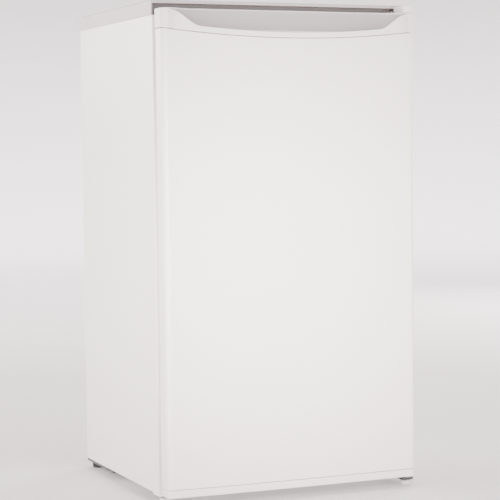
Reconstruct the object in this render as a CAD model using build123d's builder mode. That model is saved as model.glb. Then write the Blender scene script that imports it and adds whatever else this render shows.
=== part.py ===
from build123d import *
import os

# Compact under-counter refrigerator with a right-hand door. Millimetres, +Z up, the door faces -Y.
# The origin is on the floor, under the middle of the outline.

os.makedirs("parts", exist_ok=True)

# ---------------------------------------------------------------- driving dimensions
height = 838.0  # floor to worktop
cabinet_w = 464.0
cabinet_d = 391.0
feet_h = 17.0
worktop_h = 25.0
worktop_proud = 1.5  # the worktop stands this far out past each side
door_gap = 11.5  # cabinet front to door back, filled by the gasket
door_t = 37.5  # at the middle of the bow
door_bow = 4.0
door_corner = 10.0  # radius of the door's upright front edges
rear_proud = 9.0  # wall spacers behind the cabinet's rear edge
sheet = 1.0  # steel sheet
liner_t = 1.5  # moulded liner
clear = 0.3  # air between bodies that move past each other
fit = 0.05  # radial clearance of a running fit

# ---------------------------------------------------------------- planes worked out from them
half_w = cabinet_w / 2
total_d = rear_proud + cabinet_d + door_gap + door_t
rear_y = total_d / 2 - rear_proud
front_y = rear_y - cabinet_d
door_back_y = front_y - door_gap
door_front_y = door_back_y - door_t
floor_z = feet_h  # underside of the cabinet
roof_z = height - worktop_h  # top of the cabinet's steel

# Cold space: half width and Y-Z outline of the liner's outer surface
liner_half = 196.0
liner_low, liner_high = 52.0, 772.0
liner_back = 163.0
step_y, step_z, step_rise = 30.0, 214.0, 18.0  # hump over the machine compartment
panel_y = 203.5  # inner face of the back panel
bay_y, bay_z = 62.0, 186.0  # machine compartment, front and top
inner_half = liner_half - liner_t
inner_low = liner_low + liner_t
inner_high = liner_high - liner_t

# Door
hinge_x, hinge_y = 222.0, -199.0
door_low = feet_h - 0.5
door_high = height - 16.0
seam_end, seam_mid = height - 48.0, height - 62.0  # arched joint under the top cap
seam_gap = 0.6
skin_inset = 1.0  # the cap stands this far out past the steel
gasket_half = 221.0
gasket_w = 20.0
gasket_low, gasket_high = floor_z + 12.0, roof_z - 11.0
dyke_in, dyke_out = 160.0, 180.0
dyke_y = -130.0
plateau_y = door_back_y + 9.0
bin_back_y, bin_front_y = plateau_y + 0.5, -106.0  # the bin's two long walls, door side first
shelf_y = -100.0  # front edge of shelves and drawer


# ---------------------------------------------------------------- small shape makers
def block(x, y, z, mode=Mode.ADD):
    """Adds or cuts a box between limits given as (low, high) pairs."""
    with Locations(((x[0] + x[1]) / 2, (y[0] + y[1]) / 2, (z[0] + z[1]) / 2)):
        Box(x[1] - x[0], y[1] - y[0], z[1] - z[0], mode=mode)


def side_profile(points, x, mode=Mode.ADD):
    """Extrudes a closed Y-Z outline between two X limits."""
    with BuildSketch(Plane.YZ.offset(x[0])) as outline:
        with BuildLine():
            Polyline(*points, close=True)
        make_face()
    extrude(outline.sketch, amount=x[1] - x[0], mode=mode)


def upright(at, radius, z, mode=Mode.ADD):
    """Adds or cuts a vertical cylinder between two heights."""
    with Locations((at[0], at[1], (z[0] + z[1]) / 2)):
        Cylinder(radius, z[1] - z[0], mode=mode)


def across(at, radius, x, mode=Mode.ADD):
    """Adds or cuts a cylinder along X, at is (y, z)."""
    with Locations(((x[0] + x[1]) / 2, at[0], at[1])):
        Cylinder(radius, x[1] - x[0], rotation=(0, 90, 0), mode=mode)


def lengthwise(at, radius, y, mode=Mode.ADD):
    """Adds or cuts a cylinder along Y, at is (x, z)."""
    with Locations((at[0], (y[0] + y[1]) / 2, at[1])):
        Cylinder(radius, y[1] - y[0], rotation=(90, 0, 0), mode=mode)


def rod(points, radius, bends):
    """Sweeps a round rod along straight runs joined by tangent arcs."""
    with BuildLine() as path:
        FilletPolyline(*points, radius=bends)
    with BuildSketch(Plane(path.line @ 0, z_dir=path.line % 0)) as section:
        Circle(radius)
    sweep(section.sketch, path=path.line)


def door_slab(inset, back_y, z, mode=Mode.ADD):
    """Adds or cuts the door's body between two heights: straight back and sides, bowed front."""
    side = half_w - inset
    edge_y = door_front_y + door_bow + inset
    with BuildSketch(Plane.XY.offset(z[0])) as plan:
        with BuildLine():
            Polyline((-side, edge_y), (-side, back_y), (side, back_y), (side, edge_y))
            ThreePointArc((side, edge_y), (0, door_front_y + inset), (-side, edge_y))
        make_face()
        fillet(plan.vertices().group_by(Axis.Y)[0], radius=door_corner - inset)
    extrude(plan.sketch, amount=z[1] - z[0], mode=mode)


def above_seam(drop, mode):
    """Keeps or cuts everything above the arched seam, lowered by drop."""
    reach, top = half_w + 20, height + 40
    with BuildSketch(Plane.XZ.offset(-door_back_y - 20)) as region:
        with BuildLine():
            ThreePointArc((-reach, seam_end - drop), (0, seam_mid - drop), (reach, seam_end - drop))
            Polyline((reach, seam_end - drop), (reach, top), (-reach, top), (-reach, seam_end - drop))
        make_face()
    extrude(region.sketch, amount=door_t + 60, mode=mode)


def ring(half, low, high, width, y):
    """Adds an upright rectangular frame of the given bar width."""
    block((-half, half), y, (low, high))
    block((-half + width, half - width), y, (low + width, high - width), Mode.SUBTRACT)


def save(piece, name):
    """Labels a finished piece and writes its file."""
    piece.part.label = name
    export_step(piece.part, f"parts/{name}.step")


def liner_outline(inset):
    """Y-Z outline of the cold space, drawn inset from the liner's outer surface, open to the front."""
    slope = step_rise / (liner_back - step_y)
    return [
        (front_y - 1, liner_low + inset),
        (step_y - inset, liner_low + inset),
        (step_y - inset, step_z + inset),
        (liner_back - inset, step_z + inset + slope * (liner_back - step_y)),
        (liner_back - inset, liner_high - inset),
        (front_y - 1, liner_high - inset),
    ]


# ---------------------------------------------------------------- cabinet shell
flange = 32.0  # steel turned in at the front, the gasket's seat
fold_r = 0.9  # outer radius of the folded steel
inner_x = (-half_w + sheet, half_w - sheet)
flange_x = (-half_w + flange, half_w - flange)
with BuildPart() as wrapper:
    block((-half_w, half_w), (front_y, rear_y), (floor_z, roof_z))
    block(inner_x, (front_y + sheet, rear_y + 1), (floor_z - 1, roof_z - sheet), Mode.SUBTRACT)
    block(flange_x, (front_y - 1, front_y + sheet), (floor_z - 1, roof_z - flange), Mode.SUBTRACT)
    for side in (0, -1):
        upright_edges = wrapper.edges().filter_by(Axis.Z).group_by(Axis.X)[side]
        fillet(upright_edges.sort_by(Axis.Y)[:1], radius=fold_r)
save(wrapper, "cabinet_wrapper")

foot_at = (-213.0, front_y + 17.0)
stud_r = 3.0
with BuildPart() as base_pan:
    block(inner_x, (front_y + sheet, bay_y), (floor_z, floor_z + sheet))
    block(flange_x, (front_y, front_y + sheet), (floor_z, liner_low - 2))
    block((-half_w + sheet, foot_at[0] + 15), (front_y + 1, foot_at[1] + 15), (floor_z - 4, floor_z))
    upright(foot_at, stud_r + fit, (floor_z - 5, floor_z + sheet + 1), Mode.SUBTRACT)
save(base_pan, "base_pan")

with BuildPart() as bay_panel:
    side_profile(
        [
            (bay_y, floor_z),
            (bay_y, bay_z),
            (panel_y, bay_z + step_rise),
            (panel_y, bay_z + step_rise - sheet),
            (bay_y + sheet, bay_z - sheet),
            (bay_y + sheet, floor_z),
        ],
        inner_x,
    )
save(bay_panel, "machine_bay_panel")

with BuildPart() as back_panel:
    block(inner_x, (panel_y, panel_y + sheet), (bay_z + step_rise - sheet, roof_z - sheet))
    for rib_x in (-150.0, 0.0, 150.0):
        block((rib_x - 6, rib_x + 6), (panel_y + sheet, panel_y + sheet + 1.5), (260.0, 760.0))
save(back_panel, "back_panel")

flange_back = front_y + sheet + liner_t
with BuildPart() as foam:
    side_profile(
        [
            (flange_back, floor_z + sheet),
            (bay_y, floor_z + sheet),
            (bay_y, bay_z),
            (panel_y, bay_z + step_rise),
            (panel_y, roof_z - sheet),
            (flange_back, roof_z - sheet),
        ],
        inner_x,
    )
    side_profile(liner_outline(0), (-liner_half, liner_half), Mode.SUBTRACT)
    upright(foot_at, stud_r + 2, (floor_z, floor_z + 26), Mode.SUBTRACT)
save(foam, "cabinet_foam")

shelf_z = (350.0, 485.0)  # undersides of the two shelves
cover_z = 240.0  # underside of the crisper cover
tray_z = 620.0  # underside of the drip tray
runner_out = 9.0
runner_h = 5.0
with BuildPart() as liner:
    side_profile(liner_outline(0), (-liner_half, liner_half))
    side_profile(liner_outline(liner_t), (-inner_half, inner_half), Mode.SUBTRACT)
    block(
        (-liner_half - 1, liner_half + 1),
        (front_y - 2, front_y + sheet),
        (liner_low - 1, liner_high + 1),
        Mode.SUBTRACT,
    )
    block(inner_x, (front_y + sheet, flange_back), (floor_z + sheet, roof_z - sheet))
    block((-inner_half, inner_half), (front_y, flange_back + 1), (inner_low, inner_high), Mode.SUBTRACT)
    for runner_z in (*shelf_z, cover_z):
        for side in (-1, 1):
            near, far = sorted((side * (inner_half - runner_out), side * inner_half))
            runner_top = runner_z - clear
            block((near, far), (shelf_y + 4, liner_back - liner_t), (runner_top - runner_h, runner_top))
save(liner, "inner_liner")

# ---------------------------------------------------------------- worktop
top_half = half_w + worktop_proud
lip_h = 5.5
lip_y = front_y - 1.0
skirt_t = 3.0
core_x = (-top_half + skirt_t, top_half - skirt_t)
core_y = front_y + 14.0
screw_at = [(side * 190.0, roof_z + 12) for side in (-1, 1)]
with BuildPart() as worktop:
    block((-top_half, top_half), (lip_y, rear_y + 3), (roof_z, height))
    fillet(worktop.edges().filter_by(Axis.Z).group_by(Axis.Y)[-1], radius=9)
    fillet(worktop.edges().filter_by(Axis.Z).group_by(Axis.Y)[0], radius=3)
    fillet(worktop.faces().sort_by(Axis.Z)[-1].edges(), radius=2.2)
    block(core_x, (lip_y - 1, rear_y), (roof_z - 1, height - lip_h), Mode.SUBTRACT)
    for at in screw_at:
        lengthwise(at, 2.0, (rear_y - 1, rear_y + 4), Mode.SUBTRACT)
save(worktop, "worktop")

hinge_notch_x = 214.0
with BuildPart() as core:
    block(core_x, (core_y, rear_y), (roof_z, height - lip_h))
    block((hinge_notch_x, top_half), (core_y - 1, core_y + 30), (roof_z - 1, height), Mode.SUBTRACT)
    for at in screw_at:
        lengthwise(at, 2.0, (rear_y - 20, rear_y + 3), Mode.SUBTRACT)
save(core, "worktop_core")

# ---------------------------------------------------------------- machine compartment
plate_z = floor_z - 5.0
plate_t = 2.0
plate_x = half_w - sheet
gland_at = (-190.0, 34.0)
gland_r = 9.0
with BuildPart() as plate:
    block((-plate_x, plate_x), (bay_y + 4, rear_y), (plate_z, plate_z + plate_t))
    for side in (-1, 1):
        near, far = sorted((side * plate_x, side * (plate_x - plate_t)))
        block((near, far), (bay_y + 4, rear_y), (plate_z, floor_z + 16))
    block((-plate_x, plate_x), (bay_y + 4, bay_y + 6), (plate_z, floor_z + 4))
    block((gland_at[0] - 15, gland_at[0] + 15), (rear_y - 2, rear_y), (plate_z, gland_at[1] + 14))
    lengthwise(gland_at, gland_r, (rear_y - 3, rear_y + 1), Mode.SUBTRACT)
save(plate, "compressor_base_plate")

motor_x, motor_y = 40.0, 138.0
motor_r = 60.0
motor_z = plate_z + plate_t + 14.0
foot_x, foot_y = 78.0, 42.0
plate_top = plate_z + plate_t
mount_points = [(motor_x + sx * foot_x, motor_y + sy * foot_y) for sx in (-1, 1) for sy in (-1, 1)]
with BuildPart() as grommets:
    for point in mount_points:
        upright(point, 11.0, (plate_top, motor_z))
        upright(point, 4.0, (plate_top - 1, motor_z + 1), Mode.SUBTRACT)
save(grommets, "compressor_grommets")

with BuildPart() as studs:
    for point in mount_points:
        upright(point, 4.0, (plate_top, motor_z + 12))
        upright(point, 7.0, (motor_z + 3, motor_z + 8))
save(studs, "compressor_studs")

with BuildPart() as compressor:
    upright((motor_x, motor_y), motor_r, (motor_z + 3, motor_z + 128))
    fillet(compressor.faces().sort_by(Axis.Z)[-1].edges(), radius=30)
    fillet(compressor.faces().sort_by(Axis.Z)[0].edges(), radius=16)
    upright((motor_x, motor_y), motor_r + 4, (motor_z + 74, motor_z + 79))
    with Locations((motor_x, motor_y, motor_z + 1.5)):
        Box(2 * foot_x + 28, 2 * foot_y + 20, 3)
    for point in mount_points:
        upright(point, 4.0, (motor_z - 1, motor_z + 4), Mode.SUBTRACT)
    lengthwise((motor_x - 30, motor_z + 60), 4.0, (motor_y + 30, motor_y + 58))
save(compressor, "compressor")

relay_x = motor_x + motor_r
with BuildPart() as relay:
    block((relay_x + 4.5, relay_x + 40), (motor_y - 24, motor_y + 24), (motor_z + 30, motor_z + 84))
    fillet(relay.edges().filter_by(Axis.X), radius=6)
    fillet(relay.faces().sort_by(Axis.X)[-1].edges(), radius=2)
save(relay, "relay_box")

coil_y = panel_y + sheet + 8.5
coil_r = 2.5
coil_half = 188.0
coil_low = 240.0
coil_pitch = 38.0
coil_rows = 14
pipe_y = 208.0
drier_at = (170.0, 196.0)
with BuildPart() as coil:
    route = []
    for row in range(coil_rows):
        side = 1 if row % 2 else -1
        z = coil_low + row * coil_pitch
        route += [(side * coil_half, coil_y, z), (-side * coil_half, coil_y, z)]
    rod(route, coil_r, coil_pitch / 2 - 0.5)
    rod(
        [
            (-coil_half, coil_y, coil_low),
            (-coil_half - 14, coil_y, coil_low),
            (-coil_half - 14, coil_y, 80.0),
            (-coil_half - 14, pipe_y, 46.0),
            (drier_at[0] - 30, pipe_y, 46.0),
            (*drier_at, 46.0),
            (*drier_at, 80.0),
        ],
        coil_r,
        [12.0, 20.0, 20.0, 20.0, 12.0],
    )
save(coil, "condenser_coil")

wire_r = 0.8
coil_high = coil_low + (coil_rows - 1) * coil_pitch
with BuildPart() as wires:
    for face_y in (coil_y - coil_r - wire_r, coil_y + coil_r + wire_r):
        with Locations(*[(x, face_y, (coil_low + coil_high) / 2) for x in range(-160, 161, 16)]):
            Cylinder(wire_r, coil_high - coil_low + 30)
save(wires, "condenser_wires")

bracket_xs = (-124.0, 114.0)
with BuildPart() as coil_brackets:
    for x in bracket_xs:
        for z in (coil_low + 1.5 * coil_pitch, coil_low + 11.5 * coil_pitch):
            block((x, x + 10), (panel_y + sheet, coil_y - coil_r - 2 * wire_r), (z - 10, z + 10))
save(coil_brackets, "condenser_brackets")

with BuildPart() as spacers:
    for x in (-200.0, 200.0):
        block((x - 9, x + 9), (panel_y + sheet, rear_y + rear_proud), (765.0, 795.0))
    fillet(spacers.faces().group_by(Axis.Y)[-1].edges(), radius=3)
save(spacers, "wall_spacers")

with BuildPart() as drier:
    upright(drier_at, 9.0, (80.0, 160.0))
    chamfer(drier.faces().sort_by(Axis.Z)[-1].edges(), length=5)
    chamfer(drier.faces().sort_by(Axis.Z)[0].edges(), length=5)
save(drier, "filter_drier")

pipe_z = motor_z + 60
with BuildPart() as discharge:
    rod(
        [
            (motor_x - 30, motor_y + 58, pipe_z),
            (motor_x - 30, motor_y + 66, pipe_z),
            (-coil_half - 26, motor_y + 66, pipe_z),
            (-coil_half - 26, coil_y, pipe_z + 42),
            (-coil_half - 26, coil_y, coil_high),
            (-coil_half, coil_y, coil_high),
        ],
        coil_r,
        [6.0, 20.0, 20.0, 12.0],
    )
save(discharge, "discharge_tube")

with BuildPart() as suction:
    rod(
        [(motor_x - motor_r, motor_y, pipe_z), (-62.0, motor_y, pipe_z), (-62.0, motor_y, bay_z + 7)],
        3.5,
        25.0,
    )
save(suction, "suction_tube")

with BuildPart() as drain:
    upright((motor_x + 20, motor_y + 12), 6.0, (motor_z + 140, bay_z + 8))
    upright((motor_x + 20, motor_y + 12), 4.5, (motor_z + 139, bay_z + 9), Mode.SUBTRACT)
save(drain, "drain_tube")

with BuildPart() as capillary:
    rod(
        [(*drier_at, 160.0), (*drier_at, 176.0), (drier_at[0] - 20, drier_at[1] - 10, 182.0),
         (drier_at[0] - 60, drier_at[1] - 20, 184.0)],
        1.0,
        [5.0, 5.0],
    )
save(capillary, "capillary_tube")

with BuildPart() as tray:
    block((motor_x - 56, motor_x + 56), (motor_y - 40, motor_y + 48), (motor_z + 129, motor_z + 152))
    block(
        (motor_x - 54, motor_x + 54),
        (motor_y - 38, motor_y + 46),
        (motor_z + 131, motor_z + 153),
        Mode.SUBTRACT,
    )
save(tray, "evaporation_tray")

with BuildPart() as gland:
    lengthwise(gland_at, gland_r, (rear_y - 12, rear_y))
    lengthwise(gland_at, gland_r + 3, (rear_y, rear_y + 4))
    fillet(gland.faces().sort_by(Axis.Y)[-1].edges(), radius=2)
    lengthwise(gland_at, 3.8, (rear_y - 13, rear_y + 5), Mode.SUBTRACT)
save(gland, "cord_gland")

# ---------------------------------------------------------------- freezer box and controls
box_x = (-190.0, 112.0)
box_z = (645.0, 762.0)
box_y = (-92.0, 150.0)
alu = 1.5
rail_y = (shelf_y + 20, 140.0)  # rails under the box that carry the drip tray
with BuildPart() as evaporator:
    block(box_x, box_y, box_z)
    block(
        (box_x[0] + alu, box_x[1] - alu),
        (box_y[0] - 1, box_y[1] - alu),
        (box_z[0] + alu, box_z[1] - alu),
        Mode.SUBTRACT,
    )
    for x in (box_x[0] + 30, box_x[1] - 30):
        for y in (box_y[0] + 40, box_y[1] - 40):
            upright((x, y), 5.0, (box_z[1], inner_high))
    for side, edge in ((1, box_x[0]), (-1, box_x[1])):
        web = sorted((edge, edge + side * alu))
        ledge = sorted((edge, edge + side * 8))
        block(web, rail_y, (tray_z - clear - alu, box_z[0]))
        block(ledge, rail_y, (tray_z - clear - alu, tray_z - clear))
save(evaporator, "evaporator_box")

flap_axis = (box_y[0] - 12.5, box_z[1] - 10.0)
flap_x = (box_x[0] + 2, box_x[1] - 2)
flap_half_t = 3.5
pin_r = 2.5
ear_t = 4.0
left_ear = (flap_x[0] - ear_t - clear, flap_x[0] - clear)
right_ear = (flap_x[1] + clear, flap_x[1] + ear_t + clear)
bar = 9.0  # width of the frame's bars
with BuildPart() as freezer_frame:
    block((left_ear[0], right_ear[1]), (box_y[0] - 8, box_y[0]), (box_z[0] - 1, box_z[1] + 1))
    block(
        (box_x[0] + bar + 1, box_x[1] - bar - 1),
        (box_y[0] - 9, box_y[0] + 1),
        (box_z[0] + bar, box_z[1] - bar),
        Mode.SUBTRACT,
    )
    for ear_x in (left_ear, right_ear):
        block(ear_x, (flap_axis[0] - 6, box_y[0] - 8), (flap_axis[1] - 7, flap_axis[1] + 7))
    across(flap_axis, pin_r + fit, (flap_x[0] - 10, flap_x[1] + 10), Mode.SUBTRACT)
save(freezer_frame, "freezer_frame")

flap_low = box_z[0] + 2
flap_y = (flap_axis[0] - flap_half_t, flap_axis[0] + flap_half_t)
with BuildPart() as flap:
    block(flap_x, flap_y, (flap_low, flap_axis[1]))
    across(flap_axis, flap_half_t, flap_x)
    across(flap_axis, pin_r, (flap_x[0] - ear_t, flap_x[1] + ear_t))
    block((flap_x[0] + 90, flap_x[1] - 90), (flap_y[0] - 5, flap_y[0]), (flap_low, flap_low + 12))
save(flap, "freezer_flap")

tray_x = (box_x[0] + alu + 1, box_x[1] - alu - 1)
with BuildPart() as drip_tray:
    block(tray_x, (shelf_y, 140.0), (tray_z, tray_z + 16))
    block((tray_x[0] + 2, tray_x[1] - 2), (shelf_y + 2, 138.0), (tray_z + 2, tray_z + 17), Mode.SUBTRACT)
    fillet(drip_tray.edges().filter_by(Axis.Z).group_by(Axis.Y)[0], radius=1.5)
save(drip_tray, "drip_tray")

house_x = (118.0, 192.0)
house_y = (-90.0, 30.0)
house_z = (694.0, inner_high)
wall = 2.0
knob_at = (140.0, 732.0)
switch_at = (170.0, 746.0)
switch_r = 4.0
nose_y = -118.0
with BuildPart() as housing:
    block(house_x, house_y, house_z)
    fillet(housing.edges().filter_by(Axis.X).group_by(Axis.Z)[0].group_by(Axis.Y)[0], radius=6)
    lengthwise(switch_at, 10.0, (nose_y, house_y[0] + 1))
    block(
        (house_x[0] + wall, house_x[1] - wall),
        (house_y[0] + wall, house_y[1] - wall),
        (house_z[0] - 1, house_z[1] - wall),
        Mode.SUBTRACT,
    )
    lengthwise(switch_at, switch_r + fit, (nose_y - 1, house_y[0] + wall + 1), Mode.SUBTRACT)
    lengthwise(knob_at, 3.0 + fit, (house_y[0] - 1, house_y[0] + wall + 1), Mode.SUBTRACT)
save(housing, "thermostat_housing")

with BuildPart() as plunger:
    lengthwise(switch_at, switch_r, (dyke_y + 0.6, house_y[0] + wall - 2))
    fillet(plunger.faces().sort_by(Axis.Y)[0].edges(), radius=2)
save(plunger, "light_switch_plunger")

knob_r = 19.0
with BuildPart() as knob:
    lengthwise(knob_at, knob_r, (house_y[0] - 13, house_y[0] - clear))
    chamfer(knob.faces().sort_by(Axis.Y)[0].edges(), length=2)
    lengthwise(knob_at, 3.0, (house_y[0] - clear, house_y[0] + wall + 6))
    grip_y = (house_y[0] - 16, house_y[0] - 13)
    block((knob_at[0] - 3, knob_at[0] + 3), grip_y, (knob_at[1] - 16, knob_at[1] + 16))
save(knob, "thermostat_dial")

with BuildPart() as thermostat:
    body_y = (house_y[0] + wall + 7, house_y[0] + 44)
    block((knob_at[0] - 20, knob_at[0] + 14), body_y, (knob_at[1] - 16, knob_at[1] + 16))
save(thermostat, "thermostat_body")

lamp_at = (155.0, 728.0)
with BuildPart() as lamp:
    lengthwise(lamp_at, 8.0, (-6.0, 8.0))
    with Locations((lamp_at[0], -18.0, lamp_at[1])):
        Sphere(11.0)
    lengthwise(lamp_at, 12.0, (8.0, 26.0))
save(lamp, "lamp")

with BuildPart() as lamp_cover:
    lens_x = (house_x[0] + wall, house_x[1] - wall)
    block(lens_x, (house_y[0] + 12, house_y[1] - wall), (house_z[0], house_z[0] + 1.6))
    for y in range(-34, 25, 8):
        block((house_x[0] + 12, house_x[1] - 12), (y, y + 3), (house_z[0] - 1, house_z[0] + 3), Mode.SUBTRACT)
save(lamp_cover, "lamp_cover")

# ---------------------------------------------------------------- shelves and drawer
glass_t = 4.0
shelf_half = inner_half - 2.5
shelf_back = 150.0
for name, z in zip(("lower", "upper"), shelf_z):
    with BuildPart() as glass:
        block((-shelf_half, shelf_half), (shelf_y + 3, shelf_back - 3), (z, z + glass_t))
        fillet(glass.edges().filter_by(Axis.Z), radius=3)
    save(glass, f"{name}_shelf_glass")
    with BuildPart() as trims:
        block((-shelf_half, shelf_half), (shelf_y, shelf_y + 12), (z + glass_t, z + glass_t + 2.5))
        block((-shelf_half, shelf_half), (shelf_y, shelf_y + 3), (z - 6, z + glass_t + 1))
        block((-shelf_half, shelf_half), (shelf_back - 3, shelf_back), (z, z + glass_t + 12))
    save(trims, f"{name}_shelf_trims")

with BuildPart() as crisper_cover:
    block((-shelf_half, shelf_half), (shelf_y + 4, shelf_back), (cover_z, cover_z + glass_t))
save(crisper_cover, "crisper_cover")

drawer_half = inner_half - 10.0
drawer_back = step_y - liner_t - 3
drawer_z = (inner_low + 1.0, cover_z - 14.0)
drawer_wall = 2.0
with BuildPart() as drawer:
    block((-drawer_half, drawer_half), (shelf_y + 4, drawer_back), drawer_z)
    fillet(drawer.edges().filter_by(Axis.X).group_by(Axis.Z)[0], radius=5)
    block(
        (-drawer_half + drawer_wall, drawer_half - drawer_wall),
        (shelf_y + 4 + drawer_wall, drawer_back - drawer_wall),
        (drawer_z[0] + drawer_wall, drawer_z[1] + 1),
        Mode.SUBTRACT,
    )
    block((-drawer_half, drawer_half), (shelf_y, shelf_y + 4), (drawer_z[1] - 26, drawer_z[1] - 6))
save(drawer, "crisper_drawer")

# ---------------------------------------------------------------- door
cap_low = door_low + 14.0
with BuildPart() as skin:
    door_slab(skin_inset, door_back_y, (cap_low, door_high - 6))
    door_slab(skin_inset + sheet, door_back_y + 1, (cap_low - 1, door_high), Mode.SUBTRACT)
    above_seam(seam_gap, Mode.SUBTRACT)
save(skin, "door_skin")

# Finger scoop in the top cap's edge: low point, half width of its floor, half width at the top
scoop_front = (786.0, 168.0, 221.0)
scoop_back = (808.0, 152.0, 204.0)
scoop_depth = 15.0
scoop_reach = 2.0
scoop_rise = 6.0  # how much the floor climbs from the middle to its ends


def scoop_face(y, low, flat, ends):
    """Boat-shaped outline of the finger scoop at depth y."""
    high = height + 2
    with BuildSketch(Plane.XZ.offset(-y)) as outline:
        with BuildLine():
            ThreePointArc((-flat, low + scoop_rise), (0, low), (flat, low + scoop_rise))
            Polyline((flat, low + scoop_rise), (ends, high), (-ends, high), (-flat, low + scoop_rise))
        make_face()
    return outline.sketch


pocket_x = (-half_w + 4, half_w - 4)  # hollow in the top cap that the door's foam fills
pocket_y = (door_front_y + 26, door_back_y - 3)
pocket_top = door_high - 24
bushing_r = 7.5
top_pin_r = 4.0
bushing_z = (door_high - 20, door_high)
with BuildPart() as top_cap:
    door_slab(0.0, door_back_y + 2.5, (seam_mid - 12, door_high))
    above_seam(0.0, Mode.INTERSECT)
    behind_y = (door_back_y, door_back_y + 5)
    block((-gasket_half - 2, gasket_half + 2), behind_y, (0, gasket_high + 2), Mode.SUBTRACT)
    block(pocket_x, pocket_y, (0, pocket_top), Mode.SUBTRACT)
    outer_face = scoop_face(door_front_y - scoop_reach, *scoop_front)
    inner_face = scoop_face(door_front_y + scoop_depth, *scoop_back)
    loft([outer_face, inner_face], mode=Mode.SUBTRACT)
    upright((hinge_x, hinge_y), bushing_r, bushing_z, Mode.SUBTRACT)
save(top_cap, "door_top_cap")

bottom_pin_r = 5.5
low_bushing_z = (door_low, door_low + 20)
with BuildPart() as bottom_cap:
    door_slab(skin_inset, door_back_y, (door_low, cap_low))
    hollow_y = (door_front_y + 12, door_back_y - 3)
    block((-half_w + 5, half_w - 26), hollow_y, (door_low + 3, cap_low + 1), Mode.SUBTRACT)
    upright((hinge_x, hinge_y), bushing_r, low_bushing_z, Mode.SUBTRACT)
save(bottom_cap, "door_bottom_cap")

with BuildPart() as bushings:
    upright((hinge_x, hinge_y), bushing_r, bushing_z)
    upright((hinge_x, hinge_y), top_pin_r + fit, (bushing_z[0] + 2, bushing_z[1] + 1), Mode.SUBTRACT)
    upright((hinge_x, hinge_y), bushing_r, low_bushing_z)
    low_bore_z = (low_bushing_z[0] - 1, low_bushing_z[1] - 2)
    upright((hinge_x, hinge_y), bottom_pin_r + fit, low_bore_z, Mode.SUBTRACT)
save(bushings, "hinge_bushings")

dyke_z = (72.0, 762.0)
dyke_inside_z = (dyke_z[0] + liner_t, dyke_z[1] - liner_t)
with BuildPart() as door_foam:
    door_slab(skin_inset + sheet, door_back_y - liner_t, (cap_low, seam_end))
    above_seam(0.0, Mode.SUBTRACT)
    block(pocket_x, pocket_y, (seam_mid - 12, pocket_top))
    for side in (-1, 1):
        near, far = sorted((side * (dyke_in + liner_t), side * (dyke_out - liner_t)))
        block((near, far), (door_back_y - liner_t, dyke_y - liner_t), dyke_inside_z)
    upright((hinge_x, hinge_y), bushing_r, low_bushing_z, Mode.SUBTRACT)
save(door_foam, "door_foam")

bins = {"bottle": (84.0, 112.0), "middle": (300.0, 72.0), "upper": (545.0, 60.0)}
lug_drop, lug_h = 18.0, 10.0
lug_y = (-166.0, -140.0)
ledge_x = 156.2
with BuildPart() as door_liner:
    side_steel = half_w - skin_inset - sheet
    block((-side_steel, side_steel), (door_back_y - liner_t, door_back_y), (cap_low, seam_end))
    above_seam(0.0, Mode.SUBTRACT)
    block((-dyke_out - 6, dyke_out + 6), (door_back_y - liner_t, plateau_y), (60, 766))
    for side in (-1, 1):
        near, far = sorted((side * dyke_in, side * dyke_out))
        block((near, far), (plateau_y - 1, dyke_y), dyke_z)
        for bin_z, bin_h in bins.values():
            ledge_top = bin_z + bin_h - lug_drop - clear
            near, far = sorted((side * ledge_x, side * dyke_in))
            block((near, far), (lug_y[0] - 2, lug_y[1] + 2), (ledge_top - 5, ledge_top))
        near, far = sorted((side * (dyke_in + liner_t), side * (dyke_out - liner_t)))
        inside_y = (door_back_y - liner_t - 1, dyke_y - liner_t)
        block((near, far), inside_y, dyke_inside_z, Mode.SUBTRACT)
save(door_liner, "door_liner")

bin_half = 155.5
bin_wall = 2.0
for name, (bin_z, bin_h) in bins.items():
    with BuildPart() as door_bin:
        block((-bin_half, bin_half), (bin_back_y, bin_front_y), (bin_z, bin_z + bin_h))
        fillet(door_bin.edges().filter_by(Axis.Z).group_by(Axis.Y)[-1], radius=6)
        fillet(door_bin.faces().sort_by(Axis.Z)[0].edges(), radius=4)
        block(
            (-bin_half + bin_wall, bin_half - bin_wall),
            (bin_back_y + bin_wall, bin_front_y - bin_wall),
            (bin_z + bin_wall, bin_z + bin_h + 1),
            Mode.SUBTRACT,
        )
        for side in (-1, 1):
            near, far = sorted((side * (bin_half - 1), side * (dyke_in - 0.4)))
            lug_low = bin_z + bin_h - lug_drop
            block((near, far), lug_y, (lug_low, lug_low + lug_h))
    save(door_bin, f"{name}_door_bin")

with BuildPart() as magnets:
    ring(gasket_half - 6, gasket_low + 6, gasket_high - 6, 8.0, (front_y - 4.5, front_y - 2))
save(magnets, "gasket_magnets")
with BuildPart() as gasket:
    ring(gasket_half, gasket_low, gasket_high, gasket_w, (door_back_y, front_y - 0.4))
    add(magnets.part, mode=Mode.SUBTRACT)
save(gasket, "door_gasket")

# ---------------------------------------------------------------- hinges and feet
plate_z_top = (door_high + 2, door_high + 4.5)
hinge_x_span = (216.5, 230.0)
hinge_seat_y = (-162.0, -134.0)  # the bracket's foot on the cabinet's roof
top_screws = [(223.0, -155.0), (223.0, -141.0)]
with BuildPart() as top_hinge:
    block(hinge_x_span, (hinge_y - 13, hinge_seat_y[1]), plate_z_top)
    block(hinge_x_span, hinge_seat_y, (roof_z, plate_z_top[0]))
    for at in top_screws:
        upright(at, 2.0, (roof_z - 1, plate_z_top[1] + 1), Mode.SUBTRACT)
    fillet(top_hinge.edges().filter_by(Axis.Z).group_by(Axis.Y)[0], radius=5)
    upright((hinge_x, hinge_y), top_pin_r, (bushing_z[0] + 3, plate_z_top[1]))
save(top_hinge, "top_hinge_bracket")

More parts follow.
